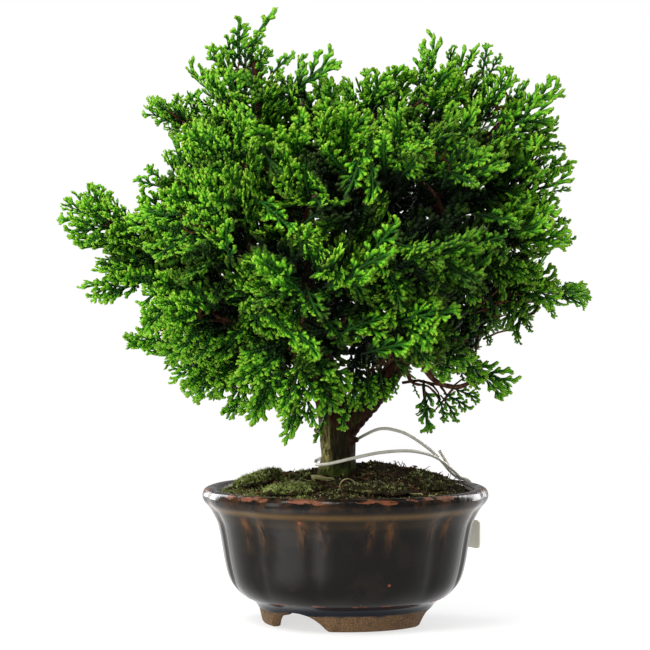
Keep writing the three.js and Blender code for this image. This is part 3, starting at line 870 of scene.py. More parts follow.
@dataclass
class Pot:
    """The glazed pot: lobed wall, rolled lip, and a clay foot cut by three arches."""

    lobes: int = 12
    around: int = 252
    crease_depth: float = 0.55
    front_crease: float = 0.30
    crease_width: float = 4.6
    shoulder_at: float = 4.6
    shoulder_width: float = 2.0
    lobe_depth: float = 2.2
    lip_share: float = 0.55
    rust_runs: tuple = (
        (-47, 9), (-17, 7.5), (14, 6), (45, 6), (-88, 6), (80, 5), (110, 8), (150, 7), (-140, 9),
    )
    glaze_line: float = 7.9
    glaze_thickness: float = 0.3
    foot_inside: float = 38.5
    arch_height: float = 9.2
    arch_left: float = 26.0
    arch_right: float = 22.8
    arches: tuple[float, ...] = (-35.3, 87.2, 204.7)
    foot: tuple = ((42, 0), (43.2, 0.6), (43.8, 2), (44.4, 4.5), (45.1, 7.6), (46, 9.6))
    bowl: tuple = (
        (47, 11), (49.4, 12.6), (52.6, 14.2), (56, 16.9), (59.2, 20.8), (61.3, 25.5), (62.9, 32),
        (64.2, 39.5), (65.4, 46.5), (66.6, 52), (68.4, 56),
    )
    lip: tuple = (
        (70.3, 59), (72.1, 61.4), (73.7, 63.3), (74.7, 65.2), (75, 66.8), (74.7, 68.4),
        (73.9, 69.8), (72.5, 70.7), (71, 71), (69.2, 70.7), (67.7, 69.8), (66.7, 68.2),
    )
    inside: tuple = ((65.6, 64.6), (63.6, 57), (60.5, 45), (57, 27), (49.5, 18.6), (40, 15))
    floor: tuple = (
        (24, 15), (8.7, 15), (8, 14.4), (8, 10.8), (8.7, 10.2), (22, 10.2), (34.5, 10.2),
    )

    def crease(self, angle: float) -> float:
        """How sharp a crease is: the potter pressed the front ones in less."""
        turn = abs((angle + 180) % 360 - 180)
        return self.front_crease + (1 - self.front_crease) * smooth(50, 68, turn)

    def off_crease(self, angle: float) -> float:
        """How many degrees an angle from the front lies off the nearest crease."""
        return abs(angle % (360 / self.lobes) - 180 / self.lobes)

    def pinch(self, angle: float) -> float:
        """How far the wall draws in at an angle from the front: lobes with a soft crease between."""
        off = self.off_crease(angle)
        share = math.sqrt((off / (180 / self.lobes)) ** 2 + 0.05)
        sharp = self.crease_depth * self.crease(angle) * math.exp(-((off / self.crease_width) ** 2))
        return sharp + self.lobe_depth * (1 - min(share, 1)) ** 2

    def shoulder(self, angle: float) -> float:
        """1 on the rounded edges of a crease, 0 elsewhere."""
        return math.exp(-(((self.off_crease(angle) - self.shoulder_at) / self.shoulder_width) ** 2))

    def rusty(self, angle: float) -> float:
        """How far the glaze has broken to rust along the lip at an angle from the front."""
        best = 0.0
        for middle, half in self.rust_runs:
            off = abs((angle - middle + 180) % 360 - 180)
            best = max(best, 1 - smooth(half * 0.8, half * 1.3, off))
        return 0.50 + 0.50 * best

    def arch(self, angle: float) -> float:
        """How high the foot is cut away at an angle from the front."""
        off = min(((angle - a + 180) % 360 - 180 for a in self.arches), key=abs)
        if off < 0:
            return self.arch_height * max(1 - (-off / self.arch_left) ** 3, 0) ** 0.6
        return self.arch_height * max(1 - (off / self.arch_right) ** 2.2, 0) ** 0.9

    def section(self, angle: float) -> np.ndarray:
        """The wall's outline at an angle from the front.

        Args:
            angle: degrees from the front.

        Returns:
            Rows of radius, height, and the marks thin, band, rust, low and bare.
        """
        cut = self.arch(angle)
        edge = self.glaze_line + 0.8 * noise.noise(Vector((angle / 14, 3.1, 0)))
        edge = max(edge, cut - 0.4)
        foot = catmull(self.foot, 12)
        top = foot[-1][1]
        bare = (0, 0, 0, 0, 1)
        rows = [(self.foot_inside + 1.2, cut, *bare), (40.6, cut, *bare)]
        for r, z in foot:
            low = cut + (top - cut) * (z / top) if cut > 0 else z
            glaze = smooth(edge - 0.1, edge + 0.35, low)
            r = float(np.interp(low, foot[:, 1], foot[:, 0])) if cut > 1 else r
            rows.append((r + self.glaze_thickness * glaze, low, 0, 0, 0, 1, 1 - glaze))
        for r, z in catmull(self.bowl, 34):
            share = smooth(12, 27, z)
            r -= share * self.pinch(angle)
            r += 0.4 * share * (1 - smooth(50, 60, z)) * self.shoulder(angle) * self.crease(angle)
            streak = self.shoulder(angle) * smooth(38, 57, z)
            dash = smooth(15.4, 14.3, z) * smooth(13.2, 14.0, z) if z < 16 else 0
            band = smooth(54.0, 57.5, z) * 0.25
            low = 1 - smooth(12.5, 16.0, z)
            rows.append((r + self.glaze_thickness, z, streak, band, dash * 0.9, low, 0))
        for r, z in catmull(self.lip, 30):
            outer = r > 71.5
            share = self.lip_share + (1 - self.lip_share) * (1 - smooth(58, 64, z))
            share *= 1 - 0.75 * smooth(68.5, 71, z)
            r -= (share if outer or z < 66 else 0.12) * self.pinch(angle)
            band = math.exp(-(((z - 61.4) / 1.5) ** 2)) if outer or z < 66 else 0
            rust = smooth(66.8, 69.4, z) * smooth(71.0, 71.6, r) * self.rusty(angle) if z < 70.9 else 0
            streak = self.shoulder(angle) * (1 - smooth(58, 61, z))
            rows.append((r, z, streak, band, rust, 0, 0))
        rows += [(r, z, *((0.2, 0, 0, 0, 0) if z > 60 else bare)) for r, z in self.inside]
        rows += [(r, z, *bare) for r, z in self.floor]
        for t in np.linspace(0, 1, 4):
            rows.append((self.foot_inside, 9.8 + (min(cut, 9.3) + 0.4 - 9.8) * t, *bare))
        return np.array(rows, float)

    def build(self) -> Object:
        """Makes the pot."""
        shape = Shape()
        sections = []
        for i in range(self.around):
            angle = 360 * i / self.around
            outline = self.section(angle)
            turn = math.radians(angle) + FRONT
            across, up = outline[:, :1], outline[:, 1:]
            sections.append(np.hstack([across * math.cos(turn), across * math.sin(turn), up]))
        rows = len(sections[0])
        faces = []
        for i in range(self.around):
            k = (i + 1) % self.around
            for j in range(rows):
                m = (j + 1) % rows
                faces.append((i * rows + j, k * rows + j, k * rows + m, i * rows + m))
        whole = np.vstack(sections)
        marks = dict(zip(("thin", "band", "rust", "low", "bare"), whole[:, 3:].T))
        shape.add(whole[:, :3], faces, **marks)
        mesh = shape.mesh("pot_body")
        return piece(mesh, "pot_body", [GlazeFinish().make("black brown glaze")], ["pot"])


# ---- soil, moss and litter ----


@dataclass
class Soil:
    """The root ball with its ridge of soil, and what lies on it."""

    edge: float = 68.6
    mouth: float = 64.6
    ridge_y: float = 4.0
    fall: float = 1.2
    ridge: tuple = (
        (-64, 68.6), (-58, 70.2), (-50, 74.2), (-39, 77.4), (-30, 78.2), (-13, 80.4), (0, 82.6), (12, 84.0),
        (22, 83.2), (40, 79.2), (53, 75.8), (60, 71.6), (64, 68.6),
    )
    rings: int = 56
    around: int = 150
    below: tuple = ((63.6, 62), (60, 46), (56.5, 28), (49, 19.2), (39, 15.4))
    chips: tuple = (
        (-43, -33, 8, 20), (-30, -4, 7, -12), (26, -27, 6.5, 8), (-2, -36, 7.5, -28), (-36, -26, 5.5, 40),
        (44, -12, 4.5, 60), (12, -18, 4.5, -40), (-52, -14, 5, 75),
    )

    def height(self, x: float, y: float) -> float:
        """Height of the soil: a ridge from side to side that falls to the rim in front and behind."""
        top = float(np.interp(x, *zip(*self.ridge)))
        half = math.sqrt(max(self.mouth**2 - x * x, 1.0))
        reach = half + self.ridge_y if y < self.ridge_y else half - self.ridge_y
        run = min(max(abs(y - self.ridge_y) / reach, 0.0), 1.0)
        return self.edge + (top - self.edge) * (1 - run) ** self.fall

    def surface(self, x: float, y: float) -> float:
        """Height of the soil with its crumbs and hollows."""
        at = Vector((x, y, 0))
        rough = 0.9 * noise.fractal(at / 7, 0.8, 2.1, 4) + 0.5 * noise.noise(at / 2.1)
        dip = 1.2 * math.exp(-(((x + 4) / 15) ** 2) - ((y + 15) / 9) ** 2)
        inside = 1 - smooth(self.mouth - 6, self.mouth, math.hypot(x, y))
        return self.height(x, y) + (rough - dip) * (0.3 + 0.7 * inside)

    def mound(self) -> Shape:
        """The root ball's closed form, fine on top and plain below."""
        shape = Shape()
        verts, faces = [(0.0, 0.0, self.surface(0, 0))], []
        ring = [(math.cos(a), math.sin(a)) for a in np.arange(self.around) * (2 * math.pi / self.around)]
        for i in range(1, self.rings + 1):
            r = self.mouth * i / self.rings
            verts += [(r * c, r * s, self.surface(r * c, r * s)) for c, s in ring]
        for r, z in self.below:
            verts += [(r * c, r * s, z) for c, s in ring]
        rows = self.rings + len(self.below)
        verts.append((0.0, 0.0, self.below[-1][1]))
        last = len(verts) - 1
        for j in range(self.around):
            k = (j + 1) % self.around
            faces.append((0, 1 + j, 1 + k))
            for i in range(rows - 1):
                a, b = 1 + i * self.around, 1 + (i + 1) * self.around
                faces.append((a + j, b + j, b + k, a + k))
            end = 1 + (rows - 1) * self.around
            faces.append((end + k, end + j, last))
        shape.add(np.array(verts), faces)
        return shape

    @staticmethod
    def crumb(seed: int) -> Mesh:
        """A small angular lump of grit, about 1 mm across."""
        work = bmesh.new()
        bmesh.ops.create_icosphere(work, subdivisions=1, radius=0.5)
        rng = np.random.default_rng(seed)
        stretch = rng.uniform(0.55, 1.3, 3)
        for v in work.verts:
            v.co = Vector(c * float(k) * float(rng.uniform(0.75, 1.2)) for c, k in zip(v.co, stretch))
        mesh = bpy.data.meshes.new("crumb")
        work.to_mesh(mesh)
        work.free()
        mesh.transform(Matrix.Scale(MM, 4))
        return mesh

    @staticmethod
    def tuft(seed: int) -> Mesh:
        """A moss shoot: a few leaning blades, about 2 mm tall."""
        rng = np.random.default_rng(seed)
        shape = Shape()
        for _ in range(5):
            a = rng.uniform(0, 2 * math.pi)
            lean = rng.uniform(0.3, 1.5)
            foot = np.array([*rng.uniform(-0.5, 0.5, 2), -0.3])
            out = np.array([math.cos(a), math.sin(a), 0])
            side = np.array([-math.sin(a), math.cos(a), 0]) * 0.24
            tip = foot + out * lean + [0, 0, rng.uniform(1.0, 2.5)]
            verts = np.array([foot - side, foot + side, foot + out * 0.35, tip])
            shape.add(verts, [(2, 1, 0), (0, 1, 3), (1, 2, 3), (2, 0, 3)], tip=np.array([0, 0, 0, 1.0]))
        return shape.mesh("tuft", about_pot=False)

    def chip(self, x: float, y: float, long: float, turn: float, rng: np.random.Generator) -> tuple:
        """A flat flake of bark on the soil.

        Args:
            x: how far right of the pot's axis its middle is, in millimetres.
            y: how far behind the pot's axis its middle is.
            long: its length.
            turn: its direction in degrees.
            rng: gives its small differences.

        Returns:
            Vertices and faces.
        """
        c, s = math.cos(math.radians(turn)), math.sin(math.radians(turn))
        line = []
        for share in np.linspace(-0.5, 0.5, 6):
            px, py = x + c * long * share, y + s * long * share
            line.append((px, py, self.surface(px, py) + rng.uniform(0.5, 1.1)))
        radii = np.array([0.5, 0.9, 1.0, 0.95, 0.8, 0.4]) * rng.uniform(0.75, 1.25, 6) * (0.5 + 0.12 * long)
        return tube(line, radii, 7, 0.45)

    def litter(self) -> list[Mesh]:
        """Bark flakes, a pale root end, straw and wiry dry moss stems."""
        rng = np.random.default_rng(77)
        flakes, straws, wires = (Shape() for _ in range(3))
        for x, y, long, turn in self.chips:
            flakes.add(*self.chip(x, y, long, turn, rng))
        for _ in range(70):
            x, y = rng.uniform(-52, 52), rng.uniform(-50, 8)
            if math.hypot(x, y) < 58:
                flakes.add(*self.chip(x, y, rng.uniform(1.6, 3.6), rng.uniform(0, 180), rng))
        ring = np.linspace(-0.7, 4.2, 14)
        x, y = 0.8, -42.0
        low = self.surface(x, y)
        hoop = [(x + 4.0 * math.cos(a), y - 1.6 * math.sin(a), low + 2.6 + 3.9 * math.sin(a)) for a in ring]
        straws.add(*tube(hoop, np.full(14, 0.27), 5))
        for _ in range(16):
            x, y = rng.uniform(-45, 48), rng.uniform(-50, -8)
            turn, long, bend = rng.uniform(0, math.pi), rng.uniform(4, 10), rng.uniform(-0.25, 0.25)
            line = []
            for run in np.linspace(0, long, 7):
                px, py = x + math.cos(turn + bend * run) * run, y + math.sin(turn + bend * run) * run
                line.append((px, py, self.surface(px, py) + 0.9 + 0.5 * math.sin(run)))
            straws.add(*tube(line, np.full(7, rng.uniform(0.2, 0.34)), 5))
        root = [(-17.0, -12.5), (-13.5, -14.5), (-10.0, -15.5), (-6.5, -16.5)]
        line = catmull([(px, py, self.surface(px, py) + 1.2) for px, py in root], 8)
        straws.add(*tube(line, np.array([1.5, 1.3, 1.1, 1.1, 1.0, 0.8, 0.6, 0.3]), 8))
        for side in (1,) * 20 + (-1,) * 7:
            x, y = rng.uniform(26, 57) if side > 0 else rng.uniform(-50, -28), rng.uniform(-3, 12)
            tall, lean = rng.uniform(1.5, 5.5), rng.uniform(-0.9, 0.9)
            low = self.surface(x, y) - 0.5
            curl = rng.uniform(-2.2, 2.2)
            line = []
            for t in np.linspace(0, 1, 6):
                rise = tall * (t - 0.25 * t**4)
                line.append((x + lean * t * tall + curl * t**3, y + rng.uniform(-0.2, 0.2), low + rise))
            wires.add(*tube(line, np.linspace(0.24, 0.13, 6), 4))
        return [shape.mesh("litter") for shape in (flakes, straws, wires)]

    @staticmethod
    def strewn(strew: Strew, ground: Mesh, rows: Sequence[tuple]) -> list[Mesh]:
        """Small forms strewn over a piece of ground, but not where it faces down.

        Args:
            strew: the tree that strews them.
            ground: the mesh that they lie on.
            rows: for each layer, the forms, how thickly they lie at a place, their number in a square
                metre, the largest size, the lean, the seed and the finish.

        Returns:
            A mesh for each layer.
        """
        made = []
        for forms, cover, density, largest, lean, seed, finish in rows:
            upright = iter([v.normal.z > 0.3 for v in ground.vertices])
            lone = marked(ground.copy(), "cover", lambda at: cover(at) if next(upright) else 0.0)
            made.append(strew.run(
                lone, Pieces=forms.collection, Density=density, Smallest=0.4, Largest=largest, Lean=lean,
                Seed=seed, Material=finish,
            ))
        return made

    def build(self) -> None:
        """Makes the soil, grit, moss and litter."""
        strew = Strew()
        grit = Patterns("grit")
        tufts = Patterns("tufts")
        for i in range(6):
            grit.add(self.crumb(40 + i), f"grit_{i}")
            tufts.add(self.tuft(60 + i), f"tuft_{i}")
        soil = EarthFinish((0.0025, 0.0020, 0.0012), (0.026, 0.018, 0.009), 0.8, 0.9).make("potting soil")
        stones = EarthFinish((0.0015, 0.0011, 0.0007), (0.082, 0.060, 0.029), 1.3, 0.2).make("grit")
        flecks = EarthFinish((0.12, 0.12, 0.04), (0.55, 0.52, 0.28), 1.0, 0.1).make("pale grit")
        green = EarthFinish(
            (0.005, 0.009, 0.002), (0.170, 0.225, 0.044), 1.5, 0.3, tips=(0.46, 0.54, 0.19),
            shady=((0.002, 0.003, 0.001), (0.100, 0.104, 0.024)),
        ).make("moss")
        flake = BarkFinish(
            (0.016, 0.008, 0.005), (0.085, 0.035, 0.020), (0.21, 0.10, 0.055), (0.05, 0.07, 0.02), 0.2
        ).make("bark flakes")
        straw = EarthFinish((0.13, 0.12, 0.05), (0.36, 0.34, 0.16), 1.2, 0.1).make("straw")
        wire = EarthFinish((0.010, 0.008, 0.006), (0.040, 0.028, 0.018), 1.2, 0.1).make("dry moss stems")
        mound = self.mound().mesh("soil_mound")
        strewn = self.strewn(strew, mound, (
            (grit, lambda at: 1.0, 2.0e5, 1.9, 0.9, 11, stones),
            (grit, lambda at: 1.0, 4.0e4, 0.95, 0.9, 14, flecks),
            (tufts, self.green_cover, 4.2e5, 1.0, 0.6, 12, green),
        ))
        layers = [mound, *strewn, *self.litter()]
        finishes = [soil, stones, flecks, green, flake, straw, wire]
        piece(merged(layers, "root_ball_soil"), "root_ball_soil", finishes, ["root_ball"])
        for i, node in enumerate(sorted(n for n in frame["nodes"] if n.startswith("moss_"))):
            cushion = remeshed(copied(node), 1.2, 2)
            displaced(cushion, lambda co: 0.9 * noise.fractal(co / (4.5 * MM), 0.8, 2.2, 4) - 0.5)
            strewn = self.strewn(strew, cushion, (
                (grit, lambda at: 1.0 - 0.8 * self.green_cover(at), 2.5e5, 1.6, 0.9, 50 + i, stones),
                (tufts, lambda at: 0.25 + 0.75 * self.green_cover(at), 8.0e5, 1.0, 0.6, 20 + i, green),
            ))
            whole = merged([cushion, *strewn], "cushion_" + node)
            piece(whole, "cushion_" + node, [soil, stones, green], [node])
        grit.clear()
        tufts.clear()

    def green_cover(self, at: Vector) -> float:
        """How mossy the soil is at a place: thick to the left, patchy in front, thin to the right."""
        patches = noise.noise(Vector((at.x / 9, at.y / 9, 4))) + 0.30 * smooth(0, -38, at.x)
        fine = 0.25 + 0.75 * smooth(-0.25, 0.10, noise.noise(Vector((at.x / 3.4, at.y / 3.4, 9))))
        return smooth(-0.12, 0.30, patches) * fine * (0.50 + 0.50 * smooth(16, -34, at.x))


# ---- wood ----


@dataclass
class Wood:
    """Trunk, leaders, root flare, branches and the bare twigs that show between the leaves."""

    trunk: tuple = ((-4, 0, 62), (-4, 0, 84), (-4, 0, 95), (-5, 0, 106))
    left: tuple = ((-5, 0, 106), (-12, 0, 132), (-19, 1, 165), (-29, 2, 205), (-41, 0, 250), (-48, 0, 296))
    right: tuple = (
        (-4, 0, 97), (4, -1, 106.5), (13.4, -1.5, 117), (21, -2, 126), (37, 0, 152), (47, 2, 190),
        (52, 3, 230), (55, 4, 268),
    )
    root_angles: tuple = (25, 215, 255, 290, 340)
    knobs: tuple = (
        (-13.4, -3.5, 101, 3.4), (4.2, -4, 96, 3), (5.2, -3, 100.5, 2.4), (-9.5, -7, 90, 2.6),
    )
    twigs: tuple = (
        ("branch_right_low", ((31, -3, 134), (34.8, -7, 126), (43.2, -8, 123.9), (49.4, -9, 117)), 1),
        ("branch_right_low", ((38, -6, 140), (46, -8, 127.5), (57.3, -8, 123.6), (66, -8, 126.5)), 1.9),
        ("branch_right_low", ((57, -8, 124), (52, -9, 118), (46, -10, 111)), 0.7),
        ("branch_right_mid", ((52, -14, 170), (62, -24, 163), (74, -27, 166), (86, -24, 173)), 0.9),
        ("branch_right_mid", ((62, -24, 163), (70, -29, 168), (80, -27, 176)), 0.7),
        ("branch_right_mid", ((70, -26, 165), (78, -29, 161), (87, -25, 164)), 0.7),
        ("branch_right_mid", ((74, -27, 166), (83, -29, 169), (92, -22, 168)), 0.6),
        ("branch_right_mid", ((48, -10, 186), (40, -26, 178), (33, -34, 176)), 1.3),
        ("branch_front_low", ((-9, -6, 110), (-15, -10, 118), (-21, -13, 134)), 2.2),
        ("branch_front_low", ((-16, -16, 140), (-6, -24, 150), (2, -28, 165)), 1.5),
        ("branch_front_high", ((6, -12, 196), (1, -17, 212), (-4, -18, 230), (-10, -18, 244)), 1.8),
        ("branch_front_high", ((2, -16, 214), (8, -24, 226), (12, -30, 238)), 1.2),
        ("branch_left_mid", ((-44, -8, 184), (-50, -20, 196), (-47, -26, 208)), 1.3),
        ("branch_left_low", ((-50, -6, 150), (-58, -20, 158), (-66, -30, 161)), 1.4),
        ("branch_right_top", ((52, -6, 212), (46, -18, 224), (40, -24, 230)), 1.4),
    )

    def strips(self, co: Vector) -> float:
        """Height of the bark's long fibrous ridges."""
        at = (co - POT_AXIS) / MM
        long = Vector((at.x / 1.9, at.y / 1.9, at.z / 13))
        fine = Vector((at.x / 0.9, at.y / 0.9, at.z / 6))
        lump = noise.noise(at / 6.5)
        return 0.75 * noise.fractal(long, 0.7, 2.0, 3) + 0.25 * noise.noise(fine) + 0.5 * lump

    def tube(self, line: Sequence[Point], start: float, end: float, count: int, sides: int) -> tuple:
        """A tapered stem through points, its radii in millimetres."""
        return tube(catmull(line, count), np.linspace(start, end, count), sides)

    def foot(self) -> Mesh:
        """The trunk up to where its leaders part, in one skin."""
        low = Shape()
        widths = 9.0 + 2.2 * np.array([1 - smooth(0.22, 0.55, v) for v in np.linspace(0, 1, 30)])
        low.add(*tube(catmull(self.trunk, 30), widths, 28))
        low.add(*self.tube(self.left[:2], 8.8, 7.6, 14, 22))
        low.add(*self.tube(self.right[:4], 7.0, 5.4, 16, 20))
        for angle in self.root_angles:
            c, s = math.cos(math.radians(angle)), math.sin(math.radians(angle))
            line = [(-4 + 4 * c, 4 * s, 83), (-4 + 9 * c, 9 * s, 79.5), (-4 + 13.5 * c, 13.5 * s, 75.5)]
            low.add(*self.tube(line, 3.4, 1.4, 8, 10))
        for x, y, z, radius in self.knobs:
            line = [(x, y, z - radius * 0.6), (x, y, z), (x, y, z + radius * 0.6)]
            low.add(*tube(catmull(line, 5), radius * np.array([0.45, 0.9, 1.0, 0.85, 0.4]), 12))
        return remeshed(low.mesh("trunk_base"), 0.8, 4)

    def build(self) -> None:
        """Makes the trunk with its leaders, then each branch."""
        base = self.foot()
        high = Shape()
        high.add(*self.tube(self.left, 8.4, 2.0, 90, 16))
        high.add(*self.tube(self.right[2:], 5.9, 1.8, 80, 16))
        leaders = high.mesh("leaders")
        displaced(base, self.strips)
        displaced(leaders, lambda co: 0.7 * self.strips(co))
        shares = {
            # olive: the bark's olive tint on the front left, paler there as painted light on the side the
            # lamps face
            "olive": lambda at: smooth(-6.5, -9.5, at.x) * smooth(112, 96, at.z) * smooth(3, -2, at.y),
            "red": lambda at: max(smooth(98, 108, at.z), smooth(0.0, 3.5, at.x) * smooth(84, 92, at.z)),
            "mossy": lambda at: smooth(85, 78.5, at.z),
        }
        for mesh in (base, leaders):
            for name, share in shares.items():
                marked(mesh, name, share)
        olive = ("olive", (0.036, 0.031, 0.010), (0.36, 0.32, 0.115))
        red = ("red", (0.008, 0.0035, 0.0022), (0.045, 0.018, 0.010))
        moss = ("mossy", (0.012, 0.020, 0.004), (0.060, 0.095, 0.014))
        bark = BarkFinish(
            (0.0045, 0.0036, 0.0022), (0.018, 0.015, 0.0065), (0.056, 0.047, 0.021),
            (0.040, 0.048, 0.010), 0.7, (red, olive, moss),
        ).make("trunk bark")
        russet = BarkFinish(
            (0.012, 0.005, 0.0035), (0.060, 0.024, 0.014), (0.155, 0.072, 0.042), (0.06, 0.07, 0.02), 0.2
        ).make("red brown bark")
        piece(merged([base, leaders], "trunk_wood"), "trunk_wood", [bark, bark], ["trunk"])
        for node in sorted(n for n in frame["nodes"] if n.startswith("branch_")):
            skin = remeshed(copied(node), 1.3, 2)
            displaced(skin, lambda co: 0.3 * self.strips(co))
            parts = [skin]
            for owner, line, radius in self.twigs:
                if owner == node:
                    twig = Shape()
                    twig.add(*self.tube(line, radius, radius * 0.55, 18, 8))
                    parts.append(displaced(twig.mesh("twig"), lambda co: 0.35 * self.strips(co)))
            piece(merged(parts, node), "wood_" + node, [russet] * len(parts), [node])


# ---- foliage ----


@dataclass(frozen=True)
class FanForm:
    """One pattern of leaf fan: a spray of short scale-leaf shoots, in millimetres."""

    seed: int
    length: float = 30.0
    pitch: float = 3.8
    first: float = 4.0
    side: float = 14.0
    finger: float = 4.6
    width: float = 2.15
    thick: float = 0.62
    cup: float = 0.02
    arch: float = 0.004
    twist: float = 0.0
    fresh: float = 4.2
    plain: bool = False

    def strand(
        self, shape: Shape, start: np.ndarray, heading: float, length: float, curl: float, lift: float,
        rings: Sequence[float],
    ) -> Callable[[float], tuple[np.ndarray, float]]:
        """One shoot of overlapping scales, with a blunt tip.

        Args:
            shape: where its faces go.
            start: its foot in the fan's plane.
            heading: degrees to the side of the fan's axis.
            length: its length.
            curl: how many degrees it turns in each millimetre.
            lift: how steeply it rises out of the fan's plane.
            rings: where its cross-sections are, as shares of its length.

        Returns:
            A function from a distance along it to the place and heading there.
        """

        def at(run: float) -> tuple[np.ndarray, float]:
            """The place and heading at a distance along the shoot."""
            angle = math.radians(heading + curl * run / 2)
            place = np.array([math.sin(angle) * run, math.cos(angle) * run, lift * run]) + start
            return place, heading + curl * run

        half = self.width / 2
        verts, tips, runs = [], [], []
        for i, share in enumerate(rings):
            place, way = at(share * length)
            way = math.radians(way)
            across = np.array([math.cos(way), -math.sin(way), 0.0])
            wide = half * (0.6 if i == 0 else 1.05 if i == len(rings) - 1 else 0.92)
            rise = np.array([0.0, 0.0, wide * self.thick])
            verts += [place - across * wide - rise * 0.4, place + rise, place + across * wide - rise * 0.4]
            tips += [1 - (1 - share) * length / self.fresh] * 3
            runs += [share * length] * 3
        verts.append(at(length)[0])
        tips.append(1.0)
        runs.append(length)
        end = 3 * (len(rings) - 1)
        point = [(end + j, end + (j + 1) % 3, end + 3) for j in range(3)]
        faces = [*joined(len(rings), 3), (2, 1, 0), *point]
        verts = np.array(verts)
        along = np.clip(verts[:, 1] / self.length, 0, 1)
        shape.add(self.bent(verts), faces, tip=np.clip(tips, 0, 1), along=along, run=np.array(runs))
        return at

    def bent(self, verts: np.ndarray) -> np.ndarray:
        """Bends the flat fan into its hollow, arched and twisted shape."""
        x, y, z = verts.T
        z = z + self.cup * x**2 + self.arch * y**2
        turn = self.twist * y / self.length
        return np.column_stack([x * np.cos(turn) - z * np.sin(turn), y, x * np.sin(turn) + z * np.cos(turn)])

    def build(self) -> Mesh:
        """Makes the fan.

        Returns:
            A mesh with its foot at the origin, along +Y, facing +Z.
        """
        rng = np.random.default_rng(self.seed)
        shape = Shape()
        rings = (0, 0.5, 0.9) if self.plain else (0, 0.25, 0.5, 0.75, 0.93)
        curl = rng.uniform(-0.9, 0.9)
        main = self.strand(shape, np.zeros(3), -curl * 6, self.length, curl, 0.0, rings)
        run = self.first
        hand = 1 if rng.random() < 0.5 else -1
        while run < self.length - 2.0:
            share = run / self.length
            reach = self.side * math.sin(math.pi * min(0.30 + 0.62 * share, 1)) * rng.uniform(0.72, 1.18)
            reach = min(reach, (self.length - run) * 0.95 + 3.0)
            foot, heading = main(run)
            spread = rng.uniform(30, 46) - 8 * share
            rings = (0, 0.8) if self.plain else (0, 0.4, 0.85)
            shoot = self.strand(
                shape, foot + [0, 0, rng.uniform(-0.3, 0.3)], heading + hand * spread, reach,
                -hand * rng.uniform(0.6, 2.4), rng.uniform(-0.12, 0.30), rings,
            )
            if not self.plain:
                self.fingers(shape, shoot, reach, hand, rng)
            run += self.pitch * rng.uniform(0.8, 1.2)
            hand = -hand
        return shape.mesh(f"fan_{self.seed}", about_pot=False)

    def fingers(
        self, shape: Shape, shoot: Callable, reach: float, hand: int, rng: np.random.Generator
    ) -> None:
        """Adds the short blunt shoots along a side shoot, in turn on either side of it.

        Args:
            shape: where their faces go.
            shoot: gives the place and heading at a distance along the side shoot.
            reach: the side shoot's length.
            hand: the side of the first one, 1 or -1.
            rng: gives their small differences.
        """
        run, way = rng.uniform(2.4, 3.4), hand
        while run < reach - 1.4:
            foot, heading = shoot(run)
            long = min(self.finger, (reach - run) * 0.8 + 1.8) * rng.uniform(0.75, 1.25)
            turn = heading + way * rng.uniform(26, 42)
            self.strand(shape, foot, turn, long, -way * 3.0, rng.uniform(-0.15, 0.55), (0, 0.76))
            run += rng.uniform(2.6, 3.6)
            way = -way


class Layer(Enum):
    """Where in the crown a fan grows."""

    OUTER = "outer"
    INNER = "inner"


@dataclass(frozen=True)
class Spot:
    """A place where a fan ends, with its layer and how far in it lies."""

    at: Vector
    layer: Layer
    depth: float


@dataclass(frozen=True)
class Fan:
    """One fan in place: its foot, its direction, the side it faces, and how it looks."""

    foot: Vector
    way: Vector
    flat: Vector
    grow: float
    kind: int
    # painted shade: 1 keeps the leaves' colour, lower darkens them
    shade: float
    stem: bool
    set_by_hand: bool = False


@dataclass(frozen=True)
class Sprays:
    """Fans listed one by one that share a look, in millimetres about the pot's axis.

    Each row has a fan's foot, its tip and its pattern, then its own painted shade and stem where they differ.
    """

    rows: tuple
    # painted shade: 1 keeps the leaves' colour, lower darkens them
    shade: float = 1.0
    stem: bool = False
    face: Point = (0.0, -1.0, 0.35)

    def fans(self, full: float) -> list[Fan]:
        """The fans in place, of a size that reaches their tips.

        Args:
            full: the length of a fan pattern in millimetres.

        Returns:
            The fans, in the order of the rows.
        """
        made = []
        face = Vector(self.face)
        for row in self.rows:
            foot, tip = spot(*row[:3]), spot(*row[3:6])
            kind, shade, stem = (*row[6:], *(self.shade, self.stem)[len(row) - 7 :])
            way = (tip - foot).normalized()
            flat = (face - way * face.dot(way)).normalized()
            made.append(Fan(foot, way, flat, (tip - foot).length / (full * MM), kind, shade, stem, True))
        return made


@dataclass
class Pad:
    """One of the CAD's pads of leaves, with its middle, half height, size of fan and random numbers."""

    node: str
    seed: int
    heart: Vector = field(init=False)
    half: float = field(init=False)
    size: float = field(init=False)
    rng: np.random.Generator = field(init=False)

    def __post_init__(self) -> None:
        """Takes the pad's measures from its box."""
        low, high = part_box(self.node)
        self.heart = (low + high) / 2
        self.half = (high.z - low.z) / 2
        self.size = min(max(min(high - low) / (44 * MM), 0.62), 1.0)
        self.rng = np.random.default_rng(self.seed + 500)


